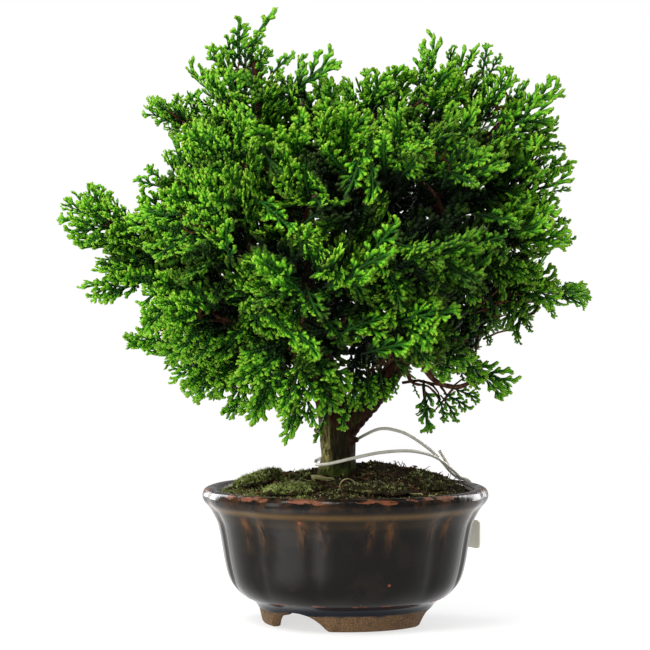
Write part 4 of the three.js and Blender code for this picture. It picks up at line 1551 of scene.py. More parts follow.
@dataclass
class Foliage:
    """The crown's leaf fans, grown on each of the CAD's pads."""

    fan_length: float = 30.0
    spacing: float = 19.5
    back_spacing: float = 24.0
    inner_spacing: float = 11.0
    layering: float = 1.3
    skin: float = 8.0
    deep: float = 32.0
    sunk: float = 0.0
    roll: float = 0.30
    twigs: tuple = (
        ((29.7, -3, 125.6), (38.7, -6, 127), (49.4, -9, 124.4), (54.9, -8, 123.4), (62, -5, 128.5)),
        ((38.7, -6, 126.8), (43.5, -9, 125.6), (47.4, -10, 122.6), (49.4, -10, 117.1)),
        ((40.6, -7, 127), (40.8, -9, 124), (41.6, -10, 119)),
        ((49.4, -9, 124.2), (51.5, -9, 121.5), (53, -9, 119)),
    )
    cleared: float = 0.9
    hand: tuple = (-38.0, 0.0, 38.0)
    wide: int = 5
    narrow: int = 5
    slender: int = 2
    plain: int = 3
    middle: Point = (-8.0, 0.0, 196.0)
    reach: Point = (135.0, 92.0, 112.0)
    candidates: int = 3200
    size_spread: float = 0.08
    rear: float = 12.0
    # painted shade: how strongly the hollows and the top of the crown darken the leaves
    hollow_shade: float = 0.93
    top_shade: float = 0.16
    by_hand: tuple = ("foliage_top_leader", "foliage_right_hanging")
    gaps: tuple = (
        (-108, 251, 12.5), (-117, 232, 11.5), (-115, 221, 7.5), (29.6, 280.7, 6), (41.5, 302, 7.5),
        (57, 306, 7), (-118.5, 161.5, 10.5), (-99.5, 140.5, 8), (-73, 108, 10.5), (88.5, 140.5, 12.5),
        (112, 153, 10.5), (125, 158, 7), (62, 108, 16),
    )
    # valleys in the front of the crown as seen: from x, z to x, z, their radius, and how deep a painted
    # shadow they put on the leaves; the deepest also lose their sprays
    hollows: tuple = (
        (-19, 245, -4, 228, 6.3, 1), (-23, 226, -20, 224, 3.7, 0.8), (-2, 228, -0, 224, 4.2, 1),
        (-21, 214, 3, 214, 4.7, 1), (2, 217, 3, 205, 4.2, 1), (6, 225, 8, 212, 3.1, 1),
        (-7, 204, -5, 204, 2.6, 0.8), (13, 204, 18, 212, 3.1, 0.7), (21, 232, 26, 231, 6.8, 1),
        (29, 225, 49, 225, 7.3, 1), (26, 218, 42, 217, 4.2, 1), (57, 225, 76, 223, 3.7, 1),
        (81, 227, 91, 231, 3.1, 0.9), (26, 243, 42, 243, 2.6, 0.8), (49, 217, 55, 220, 4.2, 1),
        (29, 203, 42, 205, 4.7, 1), (42, 209, 65, 211, 4.7, 1), (65, 209, 81, 206, 3.1, 0.9),
        (52, 203, 54, 201, 2.6, 0.8), (81, 205, 96, 209, 2.1, 0.7), (-59, 223, -57, 209, 2.6, 0.8),
        (-55, 205, -51, 197, 4.7, 1), (-51, 199, -37, 196, 3.7, 1), (-37, 196, -28, 192, 3.7, 1),
        (-28, 192, -20, 180, 3.1, 1), (-19, 178, -12, 175, 3.1, 1), (-54, 194, -59, 188, 3.1, 0.9),
        (-50, 217, -49, 207, 2.1, 0.7), (-67, 186, -70, 182, 3.7, 0.9), (-61, 188, -64, 173, 3.7, 0.8),
        (-70, 158, -59, 160, 5.7, 0.9), (-79, 191, -73, 198, 3.7, 0.8), (-89, 182, -79, 188, 2.6, 0.7),
        (-91, 177, -78, 176, 3.1, 0.7), (-63, 144, -51, 144, 2.1, 0.7), (-46, 148, -37, 142, 4.2, 0.8),
        (-37, 142, -28, 137, 4.2, 0.9), (-26, 135, -14, 131, 4.2, 0.8), (-46, 169, -44, 162, 2.6, 0.7),
        (-42, 173, -33, 170, 2.6, 0.8), (-32, 167, -24, 162, 2.6, 0.9), (-17, 156, -24, 158, 3.1, 1),
        (-8, 167, 9, 166, 5.2, 0.9), (-11, 160, 10, 160, 3.7, 0.9), (-12, 152, -14, 154, 3.1, 1),
        (-8, 171, 13, 174, 3.1, 0.7), (17, 173, 22, 170, 3.1, 0.7), (25, 190, 34, 180, 3.1, 0.9),
        (35, 183, 45, 188, 4.2, 0.6), (35, 176, 39, 173, 3.1, 0.9), (26, 165, 35, 168, 2.6, 0.8),
        (49, 173, 73, 176, 4.7, 0.8), (55, 170, 60, 172, 3.1, 1), (65, 191, 81, 194, 2.1, 0.9),
        (83, 200, 90, 200, 3.1, 0.9), (85, 191, 99, 192, 2.6, 0.7), (55, 154, 65, 157, 3.1, 0.9),
        (49, 142, 65, 146, 4.2, 0.8), (36, 140, 49, 137, 3.7, 0.8), (24, 151, 31, 153, 3.1, 0.9),
        (-10, 144, -8, 139, 4.2, 1), (-3, 143, 12, 141, 4.2, 1), (-4, 150, -0, 148, 2.6, 0.7),
        (15, 137, 34, 135, 3.7, 0.9), (65, 254, 71, 254, 3.1, 0.8), (59, 246, 63, 244, 2.6, 0.7),
        (55, 257, 58, 252, 1.8, 0.7), (45, 264, 50, 262, 1.8, 0.6), (80, 246, 81, 242, 2.1, 0.7),
        (-61, 244, -52, 245, 2.1, 0.7), (-72, 240, -69, 240, 1.8, 0.8), (-39, 246, -37, 238, 2.1, 0.8),
        (-36, 226, -30, 222, 1.8, 0.7), (-44, 228, -39, 228, 1.8, 0.6), (-45, 275, -45, 270, 2.1, 0.6),
        (49, 220, 81, 168, 23.5, 0.38), (-13, 186, -5, 187, 2.1, 0.7), (29, 188, 49, 176, 4.2, 0.8),
        (57, 183, 77, 176, 4.2, 0.8), (52, 144, 69, 147, 5.2, 0.8), (35, 264, 70, 251, 7.3, 0.3),
        (-81, 239, -52, 246, 3.7, 0.5), (-68, 178, -63, 160, 3.7, 0.8), (-83, 188, -71, 194, 3.7, 0.8),
        (-8, 135, 10, 133, 3.1, 0.8), (10, 133, 34, 133, 3.7, 0.8),
    )
    sprays: tuple[Sprays, ...] = (
        # the leaders' tops, the left edge down to the pot, then the right edge
        Sprays((
            (-51.5, 0, 294.3, -38.4, -1, 323.5, 10), (-55.1, 0, 291.1, -56.7, 0, 314.7, 5),
            (-60.3, 0, 281.7, -72.3, -2, 299.4, 6), (-43.5, -4, 282.6, -45.1, -5, 300.8, 7),
            (-40.5, -2, 283.7, -28.4, -4, 298.8, 8), (-27.9, -6, 275.8, -6, -8, 296, 0),
            (-28.4, -5, 276.3, -23.7, -6, 291.9, 6), (14.8, -4, 267, 29.9, -5, 294.6, 7),
            (14.8, -4, 267, 2.3, -4, 281.1, 5), (14.3, -5, 268, 11.2, -6, 288.8, 9),
            (45.1, -2, 279.6, 29.5, -2, 287.4, 8), (48.3, -2, 281.7, 40.9, -3, 297.3, 6),
            (55.5, -3, 284.7, 52.9, -4, 301.9, 7), (62.8, -3, 285.8, 65.4, -5, 300.3, 5),
            (71.2, -3, 285.8, 73.7, -4, 301.9, 9), (74.4, -2, 284.8, 81.1, -3, 298.8, 8),
            (79.7, 0, 280.7, 86.5, 0, 292.2, 6), (-82.2, -2, 262.3, -104.1, -3, 272.7, 1),
            (-83.3, -2, 259.7, -94.2, -3, 256.1, 7), (-87.4, -2, 237.8, -96.8, -3, 243, 5),
            (-91.6, -3, 227.4, -110.3, -4, 231.5, 8), (-91.7, 0, 229.5, -104.8, 0, 237.3, 6),
            (-129.9, 0, 207.5, -149.7, 0, 212.8, 9), (-126.6, -2, 208.6, -132.8, -3, 227.4, 5),
            (-121.4, -1, 208.1, -126.6, -1, 225.3, 7), (-118, 2, 207, -117.4, 2, 219, 6),
            (-117.6, -3, 197.6, -141, -4, 199.7, 2), (-116.7, -2, 187.7, -131.2, -3, 187.7, 8),
            (-114.5, -3, 179.4, -133.7, -4, 172.1, 3), (-113.7, 0, 176.2, -124.1, 0, 168.3, 6),
            (-87.3, -4, 146.6, -113.3, -6, 147.7, 9), (-86.4, -2, 143.9, -107.7, -3, 141.8, 7),
            (-78, -3, 136.6, -91, -4, 129.9, 5), (-68.5, -6, 132.6, -77.8, -8, 115.5, 1),
            (-72.8, -3, 134, -85.8, -4, 120.5, 8), (-50.7, -8, 122.3, -59.5, -10, 107.9, 4),
            (96.4, 0, 251.4, 107.9, 0, 258.2, 5), (100.6, 0, 246.2, 114.2, 0, 250.9, 7),
            (101.7, 0, 235.7, 112.1, 0, 241, 9), (104.3, 0, 224.2, 117.3, 0, 228.4, 6),
            (104.8, 0, 208.6, 117.9, 0, 211.7, 8), (104.8, 0, 199.2, 118.9, 0, 201.8, 5),
            (112.1, 0, 175.1, 128.8, 0, 170.4, 7), (110.2, 2, 172.5, 126.4, 2, 166.7, 9),
            (101.7, 0, 168.9, 111.1, 0, 160.5, 6), (91.1, -2, 161.6, 98.3, -3, 152.3, 8),
            (86.5, 0, 155.3, 93.3, 0, 145.9, 5), (71.2, -3, 154.3, 76.9, -4, 145, 7),
            (64.1, -5, 134.9, 87.3, -7, 125.7, 0, 0.9), (66, -3, 132.3, 83.7, -5, 120.3, 6, 0.8),
            (62.5, -4, 132.3, 71.4, -6, 121.8, 8, 0.8), (57, -2, 136, 66, -3, 124, 3, 0.6),
        ), stem=True),
        # the spray that hangs over the soil on the right
        Sprays((
            (40.2, -9, 125.4, 44.4, -12, 99.9, 9), (43.2, -10, 118.2, 39.2, -12, 108, 7, 0.55),
            (47.6, -10, 119.4, 54.1, -12, 105, 6), (49.4, -9, 119.7, 60.2, -11, 105.8, 8),
            (51, -9, 120.4, 66, -10, 112.6, 5, 0.65), (55.7, -9, 123.2, 69.6, -10, 117.6, 7, 0.7),
            (35, -8, 126.5, 38, -10, 117, 11),
        ), shade=0.6),
        # low sprays before and beside the trunk
        Sprays((
            (-14.8, -14, 112.8, -34, -18, 102.7, 8), (-20.6, -12, 115.3, -29.8, -16, 97.4, 5),
            (-7.1, -22, 132.4, -17.9, -30, 119, 2, 1), (0.2, -17, 119.7, -0.9, -22, 102.5, 9, 1),
            (3, -16, 134, 6, -22, 113.5, 1, 0.9), (11, -14, 133, 12.5, -18, 114.5, 2, 0.9),
            (18, -12, 134, 19.5, -16, 115.5, 3, 0.95), (25, -10, 134, 26, -13, 120, 0, 0.9),
            (6, 8, 136, 4, 10, 112, 4, 0.35), (15, 8, 136, 13, 10, 112, 2, 0.3),
            (8, -10, 132, 10, -12, 110, 8, 0.5), (-8.5, -13, 116, -15, -15, 95.2, 10, 0.7, False),
            (-23.6, -26, 124.9, -32.2, -32, 117.6, 3, 1),
        ), shade=0.7, stem=True),
        # sprays in front
        Sprays((
            (7.9, -62, 249.1, 3.3, -66, 220.5, 5), (10.9, -62, 245.1, 16.9, -66, 217, 7),
            (12.9, -60, 256.2, 9.8, -66, 235, 6), (-12.2, -74, 177.1, 10.6, -82, 186.2, 6),
            (-0.7, -74, 181.6, 25.5, -80, 200.1, 8), (8.8, -70, 189, 28.7, -74, 213, 5),
            (-47.2, -68, 169.9, -29.2, -72, 155.1, 9), (-39.2, -68, 163.9, -20.2, -72, 148.1, 6),
            (-29.2, -66, 156.9, -11.2, -70, 145, 7), (-3.1, -58, 153.5, 20.9, -64, 165.8, 8),
            (8, -56, 143.3, 36, -62, 150.7, 5), (-45.3, -66, 222, -23.2, -74, 205, 9),
            (-21.7, -66, 209, -0.2, -72, 223.5, 10), (-58.2, -68, 189, -61.5, -74, 214, 7),
            (-21.2, -68, 173.9, -46.5, -76, 195.1, 2), (65.1, -42, 213.9, 89.3, -46, 210.9, 6),
            (28.9, -64, 160.8, 58.9, -68, 168.4, 9), (26.9, -66, 188.9, 48.6, -74, 201, 8),
            (39.5, -62, 191.9, 65.9, -68, 200, 6), (62.6, -52, 196.7, 81.1, -56, 203.4, 5),
        )),
        # leaves that hang below the crown and to its right
        Sprays((
            (2.4, 0, 141.7, 7.5, -4, 124.1, 3), (13.3, 0, 141.7, 15.9, -4, 124.1, 1),
            (24.3, 0, 141.7, 24.7, -4, 125.7, 2), (90.6, -10, 178.4, 93, -12, 151, 5, 0.6),
            (82.8, -26, 176.3, 85.4, -32, 154.9, 7, 0.55), (73.8, -30, 174.2, 76.5, -36, 154.4, 6),
            (65.5, -34, 171.7, 66.1, -38, 152.9, 8, 0.55),
        ), shade=0.5),
        # dark leaves, painted shade, that close the heart of the crown
        Sprays((
            (-66, 26, 201, -50, 24, 186, 13, 0.1), (12, 28, 222, 32, 28, 210, 14),
            (-16, 26, 172, 6, 26, 158, 12), (20, 28, 232, 44, 28, 220, 12),
            (18, 18, 258, 40, 18, 266, 12, 0.3),
        ), shade=0.08),
        Sprays((
            (-14, -14, 190, 6, 6, 198, 12), (-4, -4, 166, 14, 14, 176, 13), (8, 8, 146, 26, 26, 156, 14),
            (-29, -3, 192, -9, 17, 199, 12), (-14, 12, 190, 6, 32, 197, 13), (-20, 5, 170, 0, 26, 177, 14),
            (-8, 17, 152, 12, 37, 159, 12), (-6, -6, 190, -6, -6, 216, 13), (9, 9, 188, 9, 9, 214, 14),
            (3, 3, 168, 3, 3, 194, 12), (15, 15, 150, 15, 15, 176, 13), (2, 2, 228, 22, 22, 238, 12),
            (-16, -16, 214, 4, 4, 224, 13), (-34, -34, 188, -15, -15, 198, 14),
            (6, 6, 180, 27, 27, 190, 12), (-13, -13, 175, 7, 7, 184, 13),
        ), shade=0.08, face=(0.7, -0.7, 0.45)),
        Sprays((
            (-38, 22, 219, -50, 20, 198, 12), (-48, 24, 205, -62, 20, 184, 13),
            (-2, 20, 216, -10, 20, 192, 14), (40, 26, 226, 18, 24, 212, 12, 0.08),
            (24, 26, 206, 33, 24, 228, 13, 0.08), (14, 24, 242, 4, 22, 219, 14, 0.08),
            (-27, 16, 266, -35, 16, 246, 12, 0.18),
        ), shade=0.1),
        Sprays((
            (20, 0, 225, 34, 6, 200, 12), (38, 0, 216, 30, 14, 191, 13), (8, 8, 216, 20, 16, 192, 14),
            (46, 10, 234, 40, 20, 210, 12),
        ), shade=0.08, face=(0.7, -0.7, 0.2)),
        Sprays((
            (6, 22, 179, -12, 20, 160, 13), (14, 22, 150, 2, 20, 130, 14, 0.12),
            (52, 22, 200, 64, 20, 178, 12),
        ), shade=0.1),
        # the left leader's tuft
        Sprays((
            (-56, 2, 288, -64, 1, 305.5, 5), (-50, -2, 290, -47, -3, 308.5, 7),
            (-52, 3, 287, -53, 4, 306, 9), (-58, -3, 280, -68.5, -4, 292, 8), (-47, 5, 284, -41, 6, 301, 6),
        ), stem=True),
        # the top on the right, and both shoulders
        Sprays((
            (62, 8, 262, 68, 8, 286, 1), (74, 8, 262, 79, 8, 285, 3), (84, 8, 256, 92, 8, 276, 2),
            (90, 8, 254, 104, 8, 267, 4), (80, 18, 222, 97, 16, 238, 12, 0.12),
            (-12, -2, 262, -15, -4, 285, 8, 0.8), (-86, -4, 208, -107, -6, 227, 3, 0.95),
            (-88, 2, 204, -111, 0, 217, 6, 0.9),
        ), shade=0.6),
    )

    def forms(self) -> Patterns:
        """The patterns of fan that the crown repeats: wide, narrow, slender, then plain ones."""
        made = Patterns("fans")
        rng = np.random.default_rng(5)
        for count, side, finger, plain in (
            (self.wide, (13.5, 16.5), 5.2, False),
            (self.narrow, (9.0, 11.0), 5.2, False),
            (self.slender, (4.4, 5.4), 3.2, False),
            (self.plain, (12.0, 13.0), 5.2, True),
        ):
            for _ in range(count):
                number = len(made.collection.objects)
                form = FanForm(
                    100 + number, side=rng.uniform(*side), finger=finger, cup=rng.uniform(0.008, 0.034),
                    arch=rng.uniform(-0.008, 0.012), twist=rng.uniform(-0.5, 0.5),
                    width=3.4 if plain else 2.35, pitch=4.2 if plain else 3.8, plain=plain,
                )
                made.add(form.build(), f"fan_{number:02d}")
        return made

    def pads(self) -> list[str]:
        """The names of the CAD's pads of leaves."""
        return sorted(n for n in frame["nodes"] if n.startswith("foliage_"))

    def crown(self) -> BVHTree:
        """All the pads' surfaces in one tree for ray casts."""
        verts, faces = [], []
        for node in self.pads():
            data = frame["nodes"][node].data
            start = len(verts)
            verts += [v.co.copy() for v in data.vertices]
            faces += [tuple(start + i for i in p.vertices) for p in data.polygons]
        return BVHTree.FromPolygons(verts, faces)

    def outward(self, at: Vector) -> Vector:
        """Direction away from the crown's middle, as its rounded outline has it."""
        away = (at - spot(*self.middle)) / MM
        return Vector(a / (r * r) for a, r in zip(away, self.reach)).normalized()

    def depth(self, at: Vector, crown: BVHTree) -> float:
        """How many millimetres a place lies below the crown's outer surface."""
        out = self.outward(at)
        far = 0.2
        hit, _, _, run = crown.ray_cast(at + out * far, -out, far)
        return (far - run) / MM if hit is not None else 0.0

    def behind(self, at: Vector) -> bool:
        """Whether a place lies in the rear of the crown."""
        return at.y - POT_AXIS.y > self.rear * MM

    @staticmethod
    def seen(x: float, y: float, z: float) -> tuple[float, float]:
        """Where a place is seen from the front, in millimetres across and up the pot's middle plane."""
        eye = Studio.eye
        share = eye[1] / (eye[1] - y)
        return eye[0] + (x - eye[0]) * share, eye[2] + (z - eye[2]) * share

    def in_gap(self, at: Vector, margin: float = 0.0) -> bool:
        """Whether a place lies in one of the open notches of the crown's outline, or nearer than a margin."""
        x, z = self.seen(*((at - POT_AXIS) / MM))
        return any(math.hypot(x - gx, z - gz) < radius + margin for gx, gz, radius in self.gaps)

    def shadow(self, x: np.ndarray, z: np.ndarray, least: float = 0.0) -> np.ndarray:
        """How much painted shadow the hollows in the front of the crown put on places: 1 in the middle of a
        deep one.

        Args:
            x: where the places are seen across the pot's middle plane, in millimetres.
            z: their heights there.
            least: leaves out hollows that are less deep.

        Returns:
            A number from 0 to 1 for each place.
        """
        dark = np.zeros(len(x))
        for x0, z0, x1, z1, radius, deep in self.hollows:
            if deep >= least:
                long, rise = x1 - x0, z1 - z0
                run = np.clip(((x - x0) * long + (z - z0) * rise) / max(long**2 + rise**2, 0.01), 0, 1)
                off = np.hypot(x - x0 - long * run, z - z0 - rise * run) / radius
                edge = np.clip((1.25 - off) / 0.6, 0, 1)
                dark = np.maximum(dark, deep * edge * edge * (3 - 2 * edge))
        return dark

    def in_hollow(self, at: Vector, least: float) -> bool:
        """Whether a place lies before a hollow in the front of the crown that is at least so deep."""
        if self.behind(at):
            return False
        x, z = self.seen(*((at - POT_AXIS) / MM))
        return bool(self.shadow(np.array([x]), np.array([z]), least)[0] > 0.6 * least)

    def darken(self, mesh: Mesh) -> Mesh:
        """Paints shade on the leaves of a pad that lie in the hollows in the front of the crown, and near its
        top.
        """
        places = np.empty(len(mesh.vertices) * 3)
        mesh.vertices.foreach_get("co", places)
        x, y, z = ((places.reshape(-1, 3) - np.array(POT_AXIS)) / MM).T
        dark = self.shadow(*self.seen(x, y, z)) * np.clip((45 - y) / 25, 0, 1)
        # painted shade: the leaves darken toward the top of the crown, from 240 mm up
        top = self.top_shade * np.clip((z - 240) / 50, 0, 1)
        marks = mesh.attributes["shade"].data
        shade = np.empty(len(mesh.vertices))
        marks.foreach_get("value", shade)
        marks.foreach_set("value", shade * (1 - self.hollow_shade * dark) * (1 - top))
        return mesh

    def choose(self, pad: Pad, crown: BVHTree) -> list[Spot]:
        """Places on a pad where fans end.

        Args:
            pad: the pad.
            crown: the surfaces of all pads.

        Returns:
            The places, spaced apart by how far in they lie.
        """
        rng = np.random.default_rng(pad.seed)
        mesh = copied(pad.node)
        mesh.calc_loop_triangles()
        corners = np.array([[mesh.vertices[i].co for i in t.vertices] for t in mesh.loop_triangles])
        areas = np.array([t.area for t in mesh.loop_triangles])
        bpy.data.meshes.remove(mesh)
        picked = rng.choice(len(areas), self.candidates, p=areas / areas.sum())
        u, v = rng.random((2, self.candidates))
        flip = u + v > 1
        u[flip], v[flip] = 1 - u[flip], 1 - v[flip]
        a, b, c = corners[picked, 0], corners[picked, 1], corners[picked, 2]
        places = a + (b - a) * u[:, None] + (c - a) * v[:, None]
        kept: list[Spot] = []
        taken = {True: np.empty((0, 4)), False: np.empty((0, 4))}
        stretch = np.array((1.0, 1.0, self.layering))
        for place in places:
            at = Vector(place)
            depth = self.depth(at, crown)
            outer = depth < self.skin
            gap = self.inner_spacing * MM
            if outer:
                gap = (self.back_spacing if self.behind(at) else self.spacing) * MM * pad.size
            away = np.linalg.norm((taken[outer][:, :3] - place) * stretch, axis=1)
            crowded = (away < (taken[outer][:, 3] + gap) / 2).any()
            if crowded or depth > self.deep or self.in_gap(at):
                continue
            taken[outer] = np.vstack([taken[outer], [*place, gap]])
            kept.append(Spot(at, Layer.OUTER if outer else Layer.INNER, depth))
        return kept

    def sweep(self, at: Vector, pad: Pad) -> tuple[Vector, Vector]:
        """Which way a spray grows and which way it faces.

        Args:
            at: where the spray ends.
            pad: its pad.

        Returns:
            The spray's direction and the normal of its flat.
        """
        rng = pad.rng
        out = self.outward(at)
        toward = Vector((0.0, 1.0 if self.behind(at) else -1.0, 0.0))
        across = Vector(((at.x - POT_AXIS.x) / MM + 8, 0.0, 0.75 * (at.z / MM - 200)))
        across = across.normalized() * min(across.length / 45, 1.0)
        radial = (at - pad.heart).normalized()
        way = across * 0.75 + radial * 0.45 + out * 0.40 + UP * rng.uniform(-0.15, 0.20)
        swirl = 0.9 * noise.noise(at / (38 * MM)) + rng.normal(0, 0.22)
        way = Matrix.Rotation(swirl, 3, out) @ way.normalized()
        flat = out * 0.50 + UP * 0.50 + toward * 0.50 + Vector(rng.normal(0, 0.22, 3))
        flat = (flat - way * flat.dot(way)).normalized()
        return way, flat

    def spray(self, place: Spot, pad: Pad) -> list[Fan]:
        """The fans that end at a place on the outside of the crown: a hand of them from one foot.

        Args:
            place: where the middle fan ends.
            pad: its pad.

        Returns:
            The fans.
        """
        rng = pad.rng
        way, flat = self.sweep(place.at, pad)
        grow = pad.size * rng.uniform(0.85, 1.10)
        foot = place.at + way * ((rng.uniform(-6.0, 2.0) - self.fan_length * grow) * MM)
        # painted shade: darker deeper in the crown, on a pad's underside, and in noisy patches at the back
        # toward the crown's middle
        depth_shade = 1 - 0.45 * smooth(0, self.skin + 4, place.depth)
        below = 0.82 + 0.18 * smooth(-0.75, 0.25, (place.at.z - pad.heart.z) / pad.half)
        shade = rng.uniform(0.85, 1.0) * depth_shade * below
        if self.behind(place.at):
            middle = spot(*self.middle)
            across = (place.at.x - middle.x) / (MM * self.reach[0])
            up = (place.at.z - middle.z) / (MM * self.reach[2])
            rear_shade = 0.60 * smooth(0.80, 0.50, across * across + up * up)
            shade *= 1 - rear_shade * smooth(0.14, -0.22, noise.noise(place.at / (24 * MM)))
        fans = []
        for angle in self.hand:
            turn = math.radians(angle + rng.uniform(-9, 9))
            ahead = Matrix.Rotation(turn, 3, flat) @ way
            long = grow * (1 - 0.26 * abs(math.sin(turn))) * rng.uniform(0.88, 1.08)
            kind = int(rng.integers(self.wide)) if angle == 0 else self.wide + int(rng.integers(self.narrow))
            fans.append(Fan(foot + ahead * (rng.uniform(0, 3) * MM), ahead, flat, long, kind, shade, True))
        return fans

    def lining(self, place: Spot, pad: Pad) -> Fan:
        """A plain fan inside the crown, painted dark as shade, which closes it behind the sprays."""
        rng = pad.rng
        toward = Vector((0.0, -1.0, 0.15)) + Vector(rng.normal(0, 0.35, 3))
        way = self.outward(place.at) * 0.8 + UP * rng.uniform(-0.5, 0.8) + Vector(rng.normal(0, 0.3, 3))
        way = way.normalized()
        flat = (toward - way * toward.dot(way)).normalized()
        height = (place.at.z - POT_AXIS.z) / MM
        tuck = 3 * smooth(245, 275, height)
        foot = place.at - way * ((self.fan_length * pad.size + rng.uniform(2, 8) + tuck) * MM)
        kind = self.wide + self.narrow + self.slender + int(rng.integers(self.plain))
        # painted shade: linings are dark, a little less so near the top where they show at the outline
        light = 0.35 * smooth(235, 270, height)
        return Fan(foot, way, flat, pad.size, kind, rng.uniform(0.08, 0.32) + light, False)

    def grow(self, pad: Pad, crown: BVHTree) -> list[Fan]:
        """All the fans of a pad but the listed ones."""
        fans = []
        for place in self.choose(pad, crown):
            if place.layer is Layer.INNER:
                fan = self.lining(place, pad)
                if self.depth(fan.foot, crown) > self.sunk:
                    fans.append(fan)
            else:
                fans += self.spray(place, pad)
        return [fan for fan in fans if self.open_to(fan)]

    def open_to(self, fan: Fan) -> bool:
        """Whether a fan may stay: it keeps out of the notches, and a spray keeps out of the deep hollows."""
        line = [fan.foot + fan.way * (self.fan_length * MM * fan.grow * t) for t in (0.4, 0.65, 0.9, 1.0)]
        if self.in_gap(line.pop(), 0.0 if fan.stem else 8.0):
            return False
        return not (fan.stem and any(self.in_hollow(at, self.cleared) for at in line))

    def shared(self) -> dict[str, list[Fan]]:
        """The listed fans, each given to the pad that it is nearest to."""
        boxes = {node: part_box(node) for node in self.pads()}
        given: dict[str, list[Fan]] = {node: [] for node in boxes}
        for fan in (fan for group in self.sprays for fan in group.fans(self.fan_length)):

            def off(node: str) -> float:
                """How far the fan's foot lies from a pad's middle, in shares of its size."""
                low, high = boxes[node]
                return Vector((f - (a + b) / 2) / (b - a) for f, a, b in zip(fan.foot, low, high)).length

            given[min(boxes, key=off)].append(fan)
        return given

    @staticmethod
    def points(fans: Sequence[Fan]) -> Mesh:
        """Points that carry what each fan needs."""
        turns = [tuple(Matrix((f.way.cross(f.flat), f.way, f.flat)).transposed().to_euler()) for f in fans]
        mesh = bpy.data.meshes.new("places")
        mesh.from_pydata([tuple(f.foot) for f in fans], [], [])
        mesh.attributes.new("turn", "FLOAT_VECTOR", "POINT").data.foreach_set("vector", np.ravel(turns))
        for name, kind in (("grow", "FLOAT"), ("kind", "INT"), ("shade", "FLOAT")):
            values = [getattr(f, name) for f in fans]
            mesh.attributes.new(name, kind, "POINT").data.foreach_set("value", values)
        return mesh

    def stem_mesh(self, node: str, fans: Sequence[Fan], seed: int) -> Mesh:
        """The thin woody stems from a pad's heart to its fans.

        Args:
            node: the pad.
            fans: its fans.
            seed: the seed of the stems' bends.

        Returns:
            All its stems.
        """
        rng = np.random.default_rng(seed)
        low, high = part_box(node)
        heart = (low + high) / 2
        shape = Shape()
        done: list[Vector] = []
        for fan in fans:
            if not fan.stem or any((fan.foot - d).length < 3.5 * MM for d in done):
                continue
            done.append(fan.foot)
            start, end = heart.lerp(fan.foot, 0.15), fan.foot + fan.way * (2 * MM)
            line = [start.lerp(end, t) for t in (0.1, 0.4, 0.7, 1.0)]
            if not fan.set_by_hand and any(self.in_hollow(at, 0.6) for at in line):
                continue
            a, b = (np.array(at - POT_AXIS) / MM for at in (start, end))
            middle = (a + b) / 2 + rng.normal(0, 1.2, 3)
            line = catmull([a, middle, b], 3)
            shape.add(*tube(line, np.linspace(0.75, 0.5, 3), 3))
        if node in self.by_hand:
            for way in self.twigs:
                line = catmull([np.array(p) for p in way], 5)
                shape.add(*tube(line, np.linspace(0.8, 0.45, len(line)), 6))
        return shape.mesh("stems")

    def build(self) -> None:
        """Grows every pad."""
        fans = self.forms()
        setter = SetFans()
        leaves = LeafFinish().make("scale leaves")
        twig = BarkFinish(
            (0.014, 0.006, 0.004), (0.070, 0.028, 0.015), (0.17, 0.080, 0.045), (0.05, 0.10, 0.02), 0.4
        ).make("twig bark")
        crown = self.crown()
        by_hand = self.shared()
        total = 0
        for i, node in enumerate(self.pads()):
            grown = [] if node in self.by_hand else self.grow(Pad(node, 1000 + i), crown)
            grown += by_hand[node]
            total += len(grown)
            spray = setter.run(
                self.points(grown), Fans=fans.collection, Spread=self.size_spread, Roll=self.roll, Seed=i,
                Material=leaves,
            )
            whole = merged([self.darken(spray), self.stem_mesh(node, grown, i)], "fans_" + node)
            piece(whole, "fans_" + node, [leaves, twig], [node])
        LOG.info("%d fans", total)
        fans.clear()


# ---- drainage and label ----


@dataclass
class Drainage:
    """The mesh over the drain hole and its wire, which keep their CAD shapes."""

    def build(self) -> None:
        """Dresses both nodes."""
        plastic = PlasticFinish((0.012, 0.012, 0.012), (0.04, 0.04, 0.038), 0.5).make("mesh plastic")
        metal = PlasticFinish((0.55, 0.55, 0.55), (0.35, 0.34, 0.33), 0.3, 1.0).make("aluminium wire")
        for node, material in (("drain_mesh", plastic), ("mesh_wire", metal)):
            mesh = frame["nodes"][node].data
            mesh.materials.clear()
            mesh.materials.append(material)


